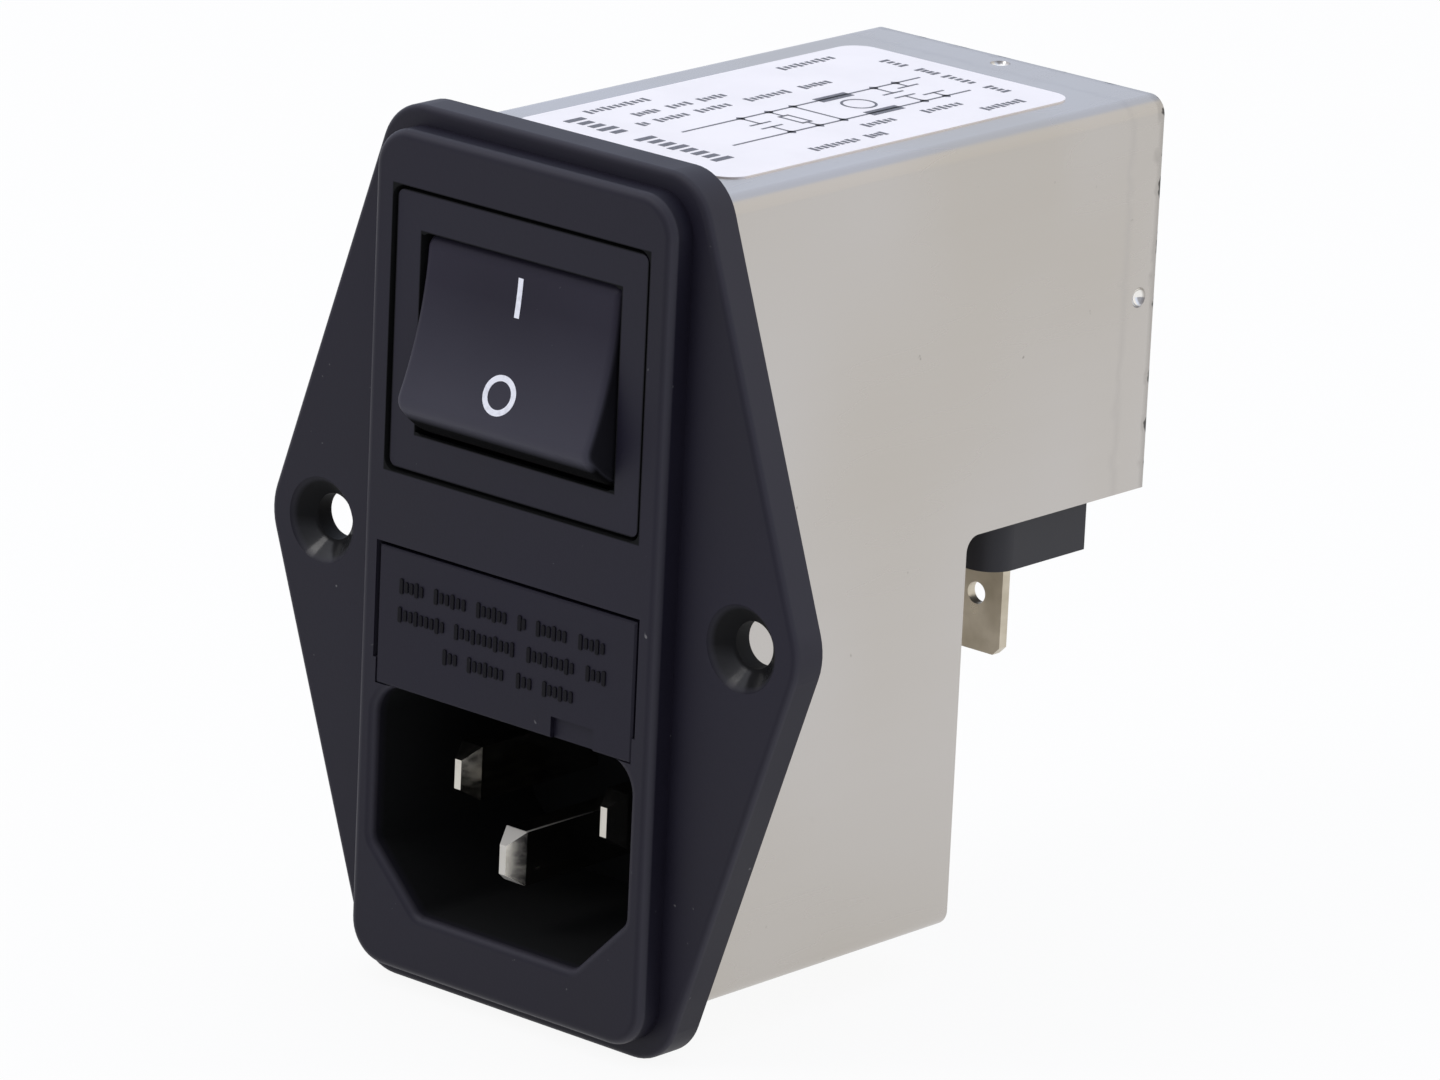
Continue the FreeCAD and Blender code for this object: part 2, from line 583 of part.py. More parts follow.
def front_moulding():
    """Flange, raised centre, switch bay, drawer tunnel and inlet cup, moulded as one piece."""
    body = new_body("front_moulding")
    pad(body, flange_outline(sketch_on(body, "XZ_Plane")), "flange_thickness")
    round_edges(body, "flange_corner_radius", lambda box: (
        along("Y")(box) and near(abs(box.XMin), FLANGE_HALF_END)
        and (near(box.ZMin, FLANGE_TOP) or near(box.ZMin, f"-{FLANGE_BOTTOM}"))))
    round_edges(body, "flange_edge_round", flat_at("Y", "-flange_thickness"))

    centre = sketch_on(body, "XZ_Plane")
    rounded_rectangle(centre, f"-{BOSS_HALF_WIDTH}", f"-{BOSS_BOTTOM}", BOSS_HALF_WIDTH, BOSS_TOP,
                      "boss_corner_radius")
    pad(body, centre, FACE)
    round_edges(body, "boss_edge_round", flat_at("Y", f"-{FACE}"))

    plug = sketch_on(body, "XZ_Plane")
    rounded_rectangle(plug, f"-{PLUG_HALF_WIDTH}", f"-{PLUG_BOTTOM}", PLUG_HALF_WIDTH, PLUG_TOP,
                      "(can_bend_radius - can_sheet)")
    pad(body, plug, "plug_depth", backwards=True)
    pad(body, inlet_outline(sketch_on(body, "XZ_Plane"), "inlet_wall"), INLET_BACK, backwards=True)
    tunnel = sketch_on(body, "XZ_Plane")
    rectangle(tunnel, f"-{TUNNEL_HALF_WIDTH} - tunnel_wall", f"-{TUNNEL_FLOOR_DROP} - tunnel_wall",
              f"{TUNNEL_HALF_WIDTH} + tunnel_wall", f"{TUNNEL_ROOF} + tunnel_wall")
    pad(body, tunnel, f"{TUNNEL_BACK} + tunnel_wall", backwards=True)

    bay = sketch_on(body, "XZ_Plane", FACE)
    rounded_rectangle(bay, f"-{BAY_HALF_WIDTH}", f"switch_rise - {BAY_HALF_HEIGHT}", BAY_HALF_WIDTH,
                      BAY_TOP, "bay_corner_radius")
    pocket(body, bay, "bay_depth")
    hole = sketch_on(body, "XZ_Plane", FACE)
    half_width = f"({SWITCH_HALF_WIDTH} + switch_box_clearance)"
    half_height = f"({SWITCH_HALF_HEIGHT} + switch_box_clearance)"
    rectangle(hole, f"-{half_width}", f"switch_rise - {half_height}",
              half_width, f"switch_rise + {half_height}")
    pocket(body, hole, f"{FACE} + plug_depth")

    pocket(body, inlet_outline(sketch_on(body, "XZ_Plane", FACE)), "inlet_depth")
    round_edges(body, "inlet_corner_radius", lambda box: (
        along("Y")(box) and near(abs(box.XMin), "inlet_width / 2") and near(box.ZMin, "-inlet_drop")))
    chamfer_end = f"{INLET_BOTTOM} - inlet_chamfer"
    round_edges(body, "inlet_chamfer_round", lambda box: along("Y")(box) and (
        near(abs(box.XMin), "inlet_width / 2") and near(box.ZMin, f"-({chamfer_end})")
        or near(abs(box.XMin), "inlet_width / 2 - inlet_chamfer") and near(box.ZMin, f"-{INLET_BOTTOM}")))
    round_edges(body, "inlet_edge_round", lambda box: (
        flat_at("Y", f"-{FACE}")(box)
        and box.ZMax < number("-inlet_drop") + TOLERANCE
        and box.ZMin > number(f"-{INLET_BOTTOM}") - TOLERANCE
        and max(abs(box.XMin), abs(box.XMax)) < number("inlet_width / 2") + TOLERANCE))
    doorway = sketch_on(body, "XZ_Plane", FACE)
    wide, narrow = f"({DRAWER_HALF_WIDTH} + drawer_gap)", "inlet_width / 2"
    polygon(doorway, [
        (f"-{wide}", "drawer_top + drawer_gap"), (f"-{wide}", "-drawer_shoulder_drop"),
        (f"-{narrow}", "-drawer_shoulder_drop"), (f"-{narrow}", "-inlet_drop"),
        (narrow, "-inlet_drop"), (narrow, "-drawer_shoulder_drop"),
        (wide, "-drawer_shoulder_drop"), (wide, "drawer_top + drawer_gap")])
    pocket(body, doorway, "drawer_plate + drawer_stop_gap")
    bore = sketch_on(body, "XZ_Plane", FACE)
    rectangle(bore, f"-{TUNNEL_HALF_WIDTH}", f"-{TUNNEL_FLOOR_DROP}", TUNNEL_HALF_WIDTH, TUNNEL_ROOF)
    pocket(body, bore, f"{FACE} + {TUNNEL_BACK}")

    slots = sketch_on(body, "XZ_Plane", f"-{INLET_FLOOR_DEPTH}")
    for x, drop in (("pin_pitch / 2", PIN_DROP), ("-pin_pitch / 2", PIN_DROP), ("0", EARTH_DROP)):
        slot_with_clearance(slots, f"{x} - pin_width / 2", f"-{drop} - pin_height / 2",
                            f"{x} + pin_width / 2", f"-{drop} + pin_height / 2")
    pocket(body, slots, "inlet_floor")
    slits = sketch_on(body, "XY_Plane", f"{TUNNEL_ROOF} + tunnel_wall")
    for sign in POLES.values():
        for end in FUSE_ENDS:
            middle = mirrored(sign, "fuse_pitch / 2")
            tail = f"({leaf_depth(end)} + {LEAF_TAIL})"
            slot_with_clearance(slits, f"{middle} - leaf_width / 2", tail,
                                f"{middle} + leaf_width / 2", f"{tail} + leaf_sheet")
    pocket(body, slits, "tunnel_wall")

    screws = sketch_on(body, "XZ_Plane", "flange_thickness")
    for x in ("screw_pitch / 2", "-screw_pitch / 2"):
        circle(screws, x, "0", "screw_hole_diameter / 2")
    pocket(body, screws, "flange_thickness")
    chamfer_edges(body, "(countersink_diameter - screw_hole_diameter) / 2", lambda box: (
        flat_at("Y", "-flange_thickness")(box) and near(box.XLength, "screw_hole_diameter")))


def inlet_pin(label, x, drop, recess):
    """A solid contact pin of the inlet, tapered on four sides to its tip, with a tail behind the cup."""
    body = new_body(label)
    section = sketch_on(body, "XZ_Plane", "-pin_tip_length")
    rectangle(section, "-pin_width / 2", "-pin_height / 2", "pin_width / 2", "pin_height / 2")
    pad(body, section, f"inlet_depth - {recess} - pin_tip_length + inlet_floor + pin_tail", backwards=True)
    tip = sketch_on(body, "XZ_Plane")
    rectangle(tip, "-pin_tip_width / 2", "-pin_tip_height / 2", "pin_tip_width / 2", "pin_tip_height / 2")
    taper = body.newObject("PartDesign::AdditiveLoft", f"{body.Name}_taper")
    taper.Profile = section
    taper.Sections = [tip]
    taper.Ruled = True
    doc.recompute()
    place(body, x, f"{recess} - {FACE}", f"-{drop}")


def leaf_contact(label, sign, end):
    """A sprung strip that hangs through the tunnel's roof and meets a fuse's cap from above."""
    body = new_body(label)
    half, tail = "leaf_contact_length / 2", LEAF_TAIL
    knee = "(leaf_room / 2)"
    top = "(leaf_room + tunnel_wall + leaf_tail_height)"
    strip = sketch_on(body, "YZ_Plane")
    polygon(strip, [
        (f"{tail} + leaf_sheet", top), (f"{tail} + leaf_sheet", knee), (half, "leaf_contact_gap"),
        (f"-{half}", "leaf_contact_gap"), (f"-{tail}", knee), (f"-{tail}", f"{knee} + leaf_sheet"),
        (f"-{half}", "leaf_contact_gap + leaf_sheet"), (half, "leaf_contact_gap + leaf_sheet"),
        (tail, f"{knee} + leaf_sheet"), (tail, top)])
    pad(body, strip, "leaf_width", symmetric=True)
    place(body, mirrored(sign, "fuse_pitch / 2"), leaf_depth(end), f"{FUSE_CAP_RADIUS} - fuse_drop")


def fuse_drawer():
    """Drawer front, flush with the raised centre, and a two-channel tray for the fuses behind it."""
    body = new_body("fuse_drawer")
    front = sketch_on(body, "XZ_Plane", PLATE_BACK)
    rectangle(front, f"-{DRAWER_HALF_WIDTH}", DRAWER_BOTTOM, DRAWER_HALF_WIDTH, "drawer_top")
    pad(body, front, "drawer_plate")
    at_face = flat_at("Y", f"-{FACE}")
    round_edges(body, "drawer_lip_round", lambda box: at_face(box) and near(box.ZMax, DRAWER_BOTTOM))
    chamfer_edges(body, "drawer_edge_chamfer", lambda box: at_face(box) and near(box.ZMax, "drawer_top"))
    notch = sketch_on(body, "XZ_Plane", FACE)
    rectangle(notch, "pry_notch_start", DRAWER_BOTTOM, "pry_notch_start + pry_notch_width",
              f"{DRAWER_BOTTOM} + pry_notch_height")
    pocket(body, notch, "pry_notch_depth")
    tray = sketch_on(body, "XZ_Plane", PLATE_BACK)
    rectangle(tray, f"-{TRAY_HALF_WIDTH}", f"-{TRAY_DROP}", TRAY_HALF_WIDTH, "-fuse_drop")
    pad(body, tray, f"{PLATE_BACK} + {TRAY_BACK}", backwards=True)
    for start, length in ((PLATE_BACK, f"{PLATE_BACK} + {FUSE_FRONT} - fuse_clearance - tray_end_wall"),
                          (f"fuse_clearance - {FUSE_FRONT}", "fuse_length + 2 * fuse_clearance")):
        channels = sketch_on(body, "XZ_Plane", start)
        for sign in POLES.values():
            circle(channels, mirrored(sign, "fuse_pitch / 2"), "-fuse_drop", TRAY_RADIUS)
        pocket(body, channels, length)


def fuse(pole, sign):
    """A glass fuse along Y: tube, two pressed caps and the wire between them."""
    glass_radius = "fuse_glass_diameter / 2"
    tube_end = "(fuse_length - fuse_cap_wall)"
    tube = new_body(f"{pole}_fuse_glass")
    rectangle(sketch_on(tube, "XY_Plane"), f"{glass_radius} - fuse_glass_wall", "fuse_cap_wall",
              glass_radius, tube_end)
    wire = new_body(f"{pole}_fuse_wire")
    rectangle(sketch_on(wire, "XY_Plane"), "0", "fuse_cap_wall", "fuse_wire_diameter / 2", tube_end)
    cap_profile = [("0", "0"), (FUSE_CAP_RADIUS, "0"), (FUSE_CAP_RADIUS, "fuse_cap_length"),
                   (glass_radius, "fuse_cap_length"), (glass_radius, "fuse_cap_wall"), ("0", "fuse_cap_wall")]
    front_cap = new_body(f"{pole}_fuse_front_cap")
    polygon(sketch_on(front_cap, "XY_Plane"), cap_profile)
    rear_cap = new_body(f"{pole}_fuse_rear_cap")
    rear_profile = [(radius, f"fuse_length - {depth}") for radius, depth in cap_profile]
    polygon(sketch_on(rear_cap, "XY_Plane"), rear_profile)
    for body in (tube, wire, front_cap, rear_cap):
        revolve(body, body.Group[0])
        place(body, mirrored(sign, "fuse_pitch / 2"), FUSE_FRONT, "-fuse_drop")


def switch_frame():
    """The switch's bezel and box: a window for the rocker, round relief for its ends, pivot holes."""
    body = new_body("switch_frame")
    bezel = sketch_on(body, "XZ_Plane", f"{FACE} - bezel_recess")
    rounded_rectangle(bezel, f"-{BAY_HALF_WIDTH} + bezel_gap",
                      f"switch_rise - {BAY_HALF_HEIGHT} + bezel_gap", f"{BAY_HALF_WIDTH} - bezel_gap",
                      f"{BAY_TOP} - bezel_gap", "(bay_corner_radius - bezel_gap)")
    pad(body, bezel, "bay_depth - bezel_recess", backwards=True)
    casing = sketch_on(body, "XZ_Plane", f"{FACE} - bay_depth")
    rectangle(casing, f"-{SWITCH_HALF_WIDTH}", f"switch_rise - {SWITCH_HALF_HEIGHT}",
              SWITCH_HALF_WIDTH, f"switch_rise + {SWITCH_HALF_HEIGHT}")
    pad(body, casing, f"{FACE} - bay_depth + {SWITCH_BACK}", backwards=True)
    window = sketch_on(body, "XZ_Plane", f"{FACE} - bezel_recess")
    rounded_rectangle(window, f"-{WINDOW_HALF_WIDTH}", "switch_rise - window_height / 2",
                      WINDOW_HALF_WIDTH, "switch_rise + window_height / 2", "window_corner_radius")
    pocket(body, window, f"{FACE} - bezel_recess + {SWITCH_FLOOR}")
    relief = sketch_on(body, "YZ_Plane")
    circle(relief, PIVOT, "switch_rise", f"{ROCKER_RADIUS} + rocker_clearance")
    pocket(body, relief, f"2 * {WINDOW_HALF_WIDTH}", symmetric=True)
    pivots = sketch_on(body, "YZ_Plane")
    circle(pivots, PIVOT, "switch_rise", "trunnion_diameter / 2 + trunnion_clearance")
    pocket(body, pivots, f"2 * {SWITCH_HALF_WIDTH}", symmetric=True)
    slots = sketch_on(body, "XZ_Plane", f"-{SWITCH_FLOOR}")
    for section in switch_slots():
        slot_with_clearance(slots, *section)
    pocket(body, slots, "switch_floor")


def put_on_rocker(body):
    """Places what was drawn about the rocker's pivot, tipped with its upper end pressed in."""
    place(body, "0", PIVOT, "switch_rise", "-rocker_tilt")


def rocker():
    """Rocker shell with a hollowed face and round ends, trunnions and two plunger guides."""
    body = new_body("rocker")
    disc = circle(sketch_on(body, "YZ_Plane"), "0", "0", ROCKER_RADIUS)
    pad(body, disc, "rocker_width", symmetric=True)
    hollow = sketch_on(body, "YZ_Plane")
    circle(hollow, f"-{ROCKER_FACE_MIDDLE} - {ROCKER_FACE_RADIUS}", "0", ROCKER_FACE_RADIUS)
    pocket(body, hollow, "rocker_width", symmetric=True)
    back = sketch_on(body, "YZ_Plane")
    rectangle(back, "rocker_skirt_depth", f"-{ROCKER_RADIUS}", ROCKER_RADIUS, ROCKER_RADIUS)
    pocket(body, back, "rocker_width", symmetric=True)
    shell(body, "rocker_wall", flat_at("Y", "rocker_skirt_depth"))
    round_edges(body, "rocker_end_round", lambda box: (
        along("X")(box) and near(box.YMin, "-rocker_face_reach")))
    at_side = {sign: flat_at("X", mirrored(sign, "rocker_width / 2")) for sign in (1, -1)}
    round_edges(body, "rocker_edge_round", lambda box: (
        (at_side[1](box) or at_side[-1](box)) and box.YMin < number("rocker_skirt_depth") - TOLERANCE))
    guides = sketch_on(body, "XZ_Plane", "-guide_reach")
    bores = sketch_on(body, "XZ_Plane", "-guide_reach")
    for sign in POLES.values():
        circle(guides, mirrored(sign, "pole_pitch / 2"), "0", f"{GUIDE_BORE} + guide_wall")
        circle(bores, mirrored(sign, "pole_pitch / 2"), "0", GUIDE_BORE)
    pad(body, guides, f"guide_reach + {ROCKER_FACE_MIDDLE} - rocker_wall / 2")
    pocket(body, bores, f"guide_reach + {ROCKER_FACE_MIDDLE} - rocker_wall", backwards=True)
    for sign in (1, -1):
        trunnion = sketch_on(body, "YZ_Plane", mirrored(sign, "rocker_width / 2"))
        circle(trunnion, "0", "0", "trunnion_diameter / 2")
        pad(body, trunnion, "trunnion_length", backwards=sign < 0)
    put_on_rocker(body)


def plunger(pole, sign):
    """A round-nosed plunger in the rocker's guide and the coil spring behind it."""
    middle = mirrored(sign, "pole_pitch / 2")
    body = new_body(f"{pole}_plunger")
    rod = circle(sketch_on(body, "XZ_Plane", f"-{PLUNGER_START}"), middle, "0", "plunger_diameter / 2")
    pad(body, rod, "plunger_length", backwards=True)
    round_edges(body, "plunger_tip_round", flat_at("Y", "plunger_reach"))
    put_on_rocker(body)
    spring = new_body(f"{pole}_plunger_spring")
    seat = f"({ROCKER_FACE_MIDDLE} - rocker_wall)"
    wire = sketch_on(spring, "XY_Plane")
    turns = [f"(360 * {side} / {WIRE_SIDES})" for side in range(WIRE_SIDES)]
    polygon(wire, [
        (f"plunger_diameter / 2 - spring_clearance - spring_wire / 2 * (1 - cos({turn}))",
         f"-{seat} + spring_wire / 2 * (1 + sin({turn}))") for turn in turns])
    coil = spring.newObject("PartDesign::AdditiveHelix", f"{spring.Name}_coil")
    coil.Profile = wire
    coil.ReferenceAxis = (wire, ["V_Axis"])
    coil.Mode = "pitch-height-angle"
    bind(coil, Pitch="spring_pitch", Height=f"{seat} + {PLUNGER_START} - spring_wire")
    doc.recompute()
    place(spring, middle, PIVOT, "switch_rise", "-rocker_tilt")


def rocking_contact(pole, sign):
    """A seesaw strip bent to a shallow V, with a knuckle on its axis and a contact tip below."""
    body = new_body(f"{pole}_rocking_contact")
    lean, drop = "sin(rocking_bend)", "cos(rocking_bend)"
    tip_depth, tip_height = f"(-rocking_front - rocking_arm * {lean})", f"(rocking_arm * {drop})"
    back_depth, back_height = f"(rocking_sheet * {drop})", f"(rocking_sheet * {lean})"
    strip = sketch_on(body, "YZ_Plane")
    polygon(strip, [
        (tip_depth, f"-{tip_height}"), ("-rocking_front", "0"), (tip_depth, tip_height),
        (f"{tip_depth} + {back_depth}", f"{tip_height} + {back_height}"),
        (f"-rocking_front + rocking_sheet / {drop}", "0"),
        (f"{tip_depth} + {back_depth}", f"-{tip_height} - {back_height}")])
    pad(body, strip, "rocking_width", symmetric=True)
    knuckle = circle(sketch_on(body, "YZ_Plane"), "0", "0", "knuckle_diameter / 2")
    pad(body, knuckle, "rocking_width", symmetric=True)
    corners = []
    for reach, lift in ((-1, 0), (1, 0), (1, 1), (-1, 1)):
        run = f"(contact_tip_reach + {reach} * contact_tip_size / 2)"
        rise = f"(rocking_sheet / 2 + {lift} * (rocking_sheet / 2 + contact_tip_height))"
        corners.append((f"-rocking_front - {run} * {lean} + {rise} * {drop}",
                        f"-{run} * {drop} - {rise} * {lean}"))
    tip = polygon(sketch_on(body, "YZ_Plane"), corners)
    pad(body, tip, "contact_tip_size", symmetric=True)
    place(body, mirrored(sign, "pole_pitch / 2"), ROCKING_AXIS, "switch_rise", "rocking_tilt")


def pivot_terminal(pole, sign):
    """A blade through the switch's floor, notched at its front to carry a rocking contact."""
    body = new_body(f"{pole}_pivot_terminal")
    blade = sketch_on(body, "YZ_Plane")
    rectangle(blade, "0", "-pivot_terminal_width / 2", f"{TERMINAL_END} - {ROCKING_AXIS}",
              "pivot_terminal_width / 2")
    pad(body, blade, "terminal_sheet", symmetric=True)
    notch = circle(sketch_on(body, "YZ_Plane"), "0", "0", "knuckle_diameter / 2 + knuckle_clearance")
    pocket(body, notch, "terminal_sheet", symmetric=True)
    place(body, mirrored(sign, "pole_pitch / 2"), ROCKING_AXIS, "switch_rise")


def load_terminal(pole, sign):
    """A bent strip through the switch's floor that the rocking contact's tip closes on."""
    body = new_body(f"{pole}_load_terminal")
    angle = "(rocking_bend - rocking_tilt)"
    tip_run = "(contact_tip_reach + contact_tip_size / 2)"
    vertex = f"({ROCKING_AXIS} - rocking_front * cos(rocking_tilt))"
    tip_back = (f"({vertex} - {tip_run} * sin({angle}) + contact_tip_size * sin({angle})"
                f" + (rocking_sheet + contact_tip_height) * cos({angle}))")
    front = f"({tip_back} + contact_gap)"
    top = f"{LOAD_FOOT} + load_terminal_rise"
    strip = sketch_on(body, "YZ_Plane")
    polygon(strip, [
        (front, LOAD_FOOT), (TERMINAL_END, LOAD_FOOT), (TERMINAL_END, f"{LOAD_FOOT} + terminal_sheet"),
        (f"{front} + terminal_sheet", f"{LOAD_FOOT} + terminal_sheet"),
        (f"{front} + terminal_sheet", top), (front, top)])
    pad(body, strip, "rocking_width", symmetric=True)
    place(body, mirrored(sign, "pole_pitch / 2"))


def filter_can():
    """Sheet-steel can, deep above and stepped back below, open to the front and at its upper rear."""
    body = new_body("filter_can")
    profile = sketch_on(body, "YZ_Plane")
    polygon(profile, [
        ("0", f"-{CAN_BOTTOM}"), (CAN_STEP, f"-{CAN_BOTTOM}"), (CAN_STEP, "can_step_rise"),
        (CAN_BACK, "can_step_rise"), (CAN_BACK, CAN_TOP), ("0", CAN_TOP)])
    pad(body, profile, f"2 * {CAN_HALF_WIDTH}", symmetric=True)
    round_edges(body, "can_step_radius", lambda box: (
        along("X")(box) and near(box.YMin, CAN_STEP) and near(box.ZMin, "can_step_rise")))
    round_edges(body, "can_bend_radius", lambda box: (
        along("Y")(box) and (near(box.ZMin, CAN_TOP) or near(box.ZMin, f"-{CAN_BOTTOM}"))))
    shell(body, "can_sheet", lambda box: flat_at("Y", "0")(box) or flat_at("Y", CAN_BACK)(box))
    doorway = sketch_on(body, "XY_Plane", STEP_FLOOR)
    neck_out = "(block_neck_inset - block_neck_clearance)"
    rectangle(doorway, f"-{BLOCK_HALF_WIDTH} + {neck_out}", f"{BLOCK_FRONT} + {neck_out}",
              f"{BLOCK_HALF_WIDTH} - {neck_out}", f"{BLOCK_BACK} - {neck_out}")
    pocket(body, doorway, "can_sheet")
    radius = "(dimple_diameter ^ 2 / (8 * dimple_depth) + dimple_depth / 2)"
    reach = f"{radius} - dimple_depth"
    for x, z in (("0", f"{CAN_TOP} + {reach}"), (f"{CAN_HALF_WIDTH} + {reach}", "dimple_rise"),
                 (f"-{CAN_HALF_WIDTH} - ({reach})", "dimple_rise")):
        dimple = body.newObject("PartDesign::SubtractiveSphere", "filter_can_dimple")
        bind(dimple, Radius=radius, Placement__Base__x=x, Placement__Base__z=z,
             Placement__Base__y=f"{CAN_BACK} - dimple_from_rear")
        doc.recompute()


def rear_cover():
    """A shallow pan pressed into the can's open rear, its flanges turned inwards along the walls."""
    body = new_body("rear_cover")
    half = f"({CAN_HALF_INSIDE} - cover_clearance)"
    bottom, top = f"({STEP_FLOOR} + cover_clearance)", f"({CAN_TOP} - can_sheet - cover_clearance)"
    radius = "(can_bend_radius - can_sheet)"
    plate = sketch_on(body, "XZ_Plane", f"cover_recess - {CAN_BACK}")
    rounded_rectangle(plate, f"-{half}", bottom, half, top, radius)
    pad(body, plate, "cover_sheet + cover_flange")
    inside = sketch_on(body, "XZ_Plane", f"cover_recess + cover_sheet + cover_flange - {CAN_BACK}")
    rounded_rectangle(inside, f"-{half} + cover_sheet", f"{bottom} + cover_sheet", f"{half} - cover_sheet",
                      f"{top} - cover_sheet", f"({radius} - cover_sheet)")
    pocket(body, inside, "cover_flange")
    round_edges(body, "cover_bend_radius", flat_at("Y", f"{CAN_BACK} - cover_recess"))


def label():
    """A round-cornered label stuck on top of the can."""
    body = new_body("label")
    outline = sketch_on(body, "XY_Plane", CAN_TOP)
    rectangle(outline, "-label_width / 2", "label_setback", "label_width / 2", "label_setback + label_length")
    pad(body, outline, "label_thickness")
    round_edges(body, "label_corner_radius", along("Z"))


def tab_middles():
    """The three blade tabs and where they stand across the terminal block."""
    return {"line_tab": TAB_PITCH, "earth_tab": "0", "neutral_tab": f"-{TAB_PITCH}"}


def tab_slots(sketch, width):
    """Slots of one width for the three blade tabs."""
    for middle in tab_middles().values():
        slot_with_clearance(sketch, f"{middle} - {width} / 2", TAB_FRONT,
                            f"{middle} + {width} / 2", f"{TAB_FRONT} + tab_sheet")
    return sketch


def terminal_block():
    """Moulded block under the step, with a neck through the can that the circuit board stands on."""
    body = new_body("terminal_block")
    foot = sketch_on(body, "XY_Plane", "can_step_rise")
    rectangle(foot, f"-{BLOCK_HALF_WIDTH}", BLOCK_FRONT, BLOCK_HALF_WIDTH, BLOCK_BACK)
    pad(body, foot, "block_drop", backwards=True)
    round_edges(body, "block_corner_radius", lambda box: along("Z")(box) and near(box.YMin, BLOCK_FRONT))
    neck = sketch_on(body, "XY_Plane", "can_step_rise")
    rectangle(neck, f"-{BLOCK_HALF_WIDTH} + block_neck_inset", f"{BLOCK_FRONT} + block_neck_inset",
              f"{BLOCK_HALF_WIDTH} - block_neck_inset", f"{BLOCK_BACK} - block_neck_inset")
    pad(body, neck, "board_rise - can_step_rise")
    pocket(body, tab_slots(sketch_on(body, "XY_Plane", "board_rise"), "tab_root_width"),
           "board_rise - can_step_rise + block_drop")
    pocket(body, tab_slots(sketch_on(body, "XY_Plane", "can_step_rise - block_drop"), "tab_width"),
           "tab_shoulder_depth", backwards=True)


def blade_tab(name, middle):
    """A plated blade tab, holed and chamfered at its tip, with a narrow root through the block."""
    body = new_body(name)
    blade = sketch_on(body, "XZ_Plane")
    half, root, tip = "tab_width / 2", "tab_root_width / 2", f"-{TAB_TIP_DROP}"
    shoulder = "can_step_rise - block_drop + tab_shoulder_depth"
    polygon(blade, [
        (f"-{half} + tab_chamfer", tip), (f"{half} - tab_chamfer", tip), (half, f"{tip} + tab_chamfer"),
        (half, shoulder), (root, shoulder), (root, TAB_TOP), (f"-{root}", TAB_TOP), (f"-{root}", shoulder),
        (f"-{half}", shoulder), (f"-{half}", f"{tip} + tab_chamfer")])
    circle(blade, "0", f"{tip} + tab_hole_from_tip", "tab_hole_diameter / 2")
    pad(body, blade, "tab_sheet", backwards=True)
    place(body, middle, TAB_FRONT)


def circuit_board():
    """The filter's board, standing on the terminal block's neck with the tabs through it."""
    body = new_body("circuit_board")
    outline = sketch_on(body, "XY_Plane", "board_rise")
    rectangle(outline, f"-{BOARD_HALF_WIDTH}", BOARD_FRONT, BOARD_HALF_WIDTH, BOARD_BACK)
    pad(body, outline, "board_thickness")
    pocket(body, tab_slots(sketch_on(body, "XY_Plane", BOARD_TOP), "tab_root_width"), "board_thickness")


def choke():
    """Ring core of the current-compensated choke and a winding round each half of it."""
    inner, outer, lift = "choke_core_bore / 2", "choke_core_diameter / 2", CHOKE_LIFT
    core = new_body("choke_core")
    rectangle(sketch_on(core, "XZ_Plane"), inner, lift, outer, f"{lift} + choke_core_height")
    revolve(core, core.Group[0])
    place(core, "0", CHOKE_MIDDLE, BOARD_TOP)
    for pole, sign in POLES.items():
        winding = new_body(f"{pole}_choke_winding")
        section = sketch_on(winding, "XZ_Plane")
        rectangle(section, f"{inner} - {lift}", "0", f"{outer} + {lift}", f"2 * {lift} + choke_core_height")
        rectangle(section, f"{inner} - choke_clearance", "choke_winding_sheet", f"{outer} + choke_clearance",
                  "choke_winding_sheet + 2 * choke_clearance + choke_core_height")
        revolve(winding, section, "choke_winding_angle")
        turn = "0" if sign > 0 else HALF_TURN
        place(winding, "0", CHOKE_MIDDLE, BOARD_TOP, turn, FreeCAD.Vector(0, 0, 1))


def x_capacitor():
    """Boxed film capacitor across the lines."""
    body = new_body("x_capacitor")
    foot = sketch_on(body, "XY_Plane", BOARD_TOP)
    back = f"{BOARD_BACK} - x_capacitor_rear_gap"
    rectangle(foot, "-x_capacitor_width / 2", f"{back} - x_capacitor_length", "x_capacitor_width / 2", back)
    pad(body, foot, "x_capacitor_height")
    round_edges(body, "x_capacitor_round", along("Z"))


def y_capacitor(pole, sign):
    """Ceramic disc capacitor from a line to earth, standing on its two leads."""
    body = new_body(f"{pole}_y_capacitor")
    radius = "y_capacitor_diameter / 2"
    disc = circle(sketch_on(body, "YZ_Plane"), "0", f"y_capacitor_lift + {radius}", radius)
    pad(body, disc, "y_capacitor_thickness", symmetric=True)
    leads = sketch_on(body, "XY_Plane")
    for y in ("lead_pitch / 2", "-lead_pitch / 2"):
        circle(leads, "0", y, "lead_diameter / 2")
    pad(body, leads, f"y_capacitor_lift + {radius}")
    place(body, mirrored(sign, f"{BOARD_HALF_WIDTH} - y_capacitor_inset"),
          f"{TAB_FRONT} + y_capacitor_behind_tabs", BOARD_TOP)


def bleed_resistor():
    """Axial resistor that lies on the board and discharges the capacitor."""
    body = new_body("bleed_resistor")
    end = circle(sketch_on(body, "XZ_Plane"), "0", "resistor_diameter / 2", "resistor_diameter / 2")
    pad(body, end, "resistor_length", symmetric=True)
    place(body, f"-{BOARD_HALF_WIDTH} + resistor_inset",
          f"{BOARD_FRONT} + resistor_front_gap + resistor_length / 2", BOARD_TOP)


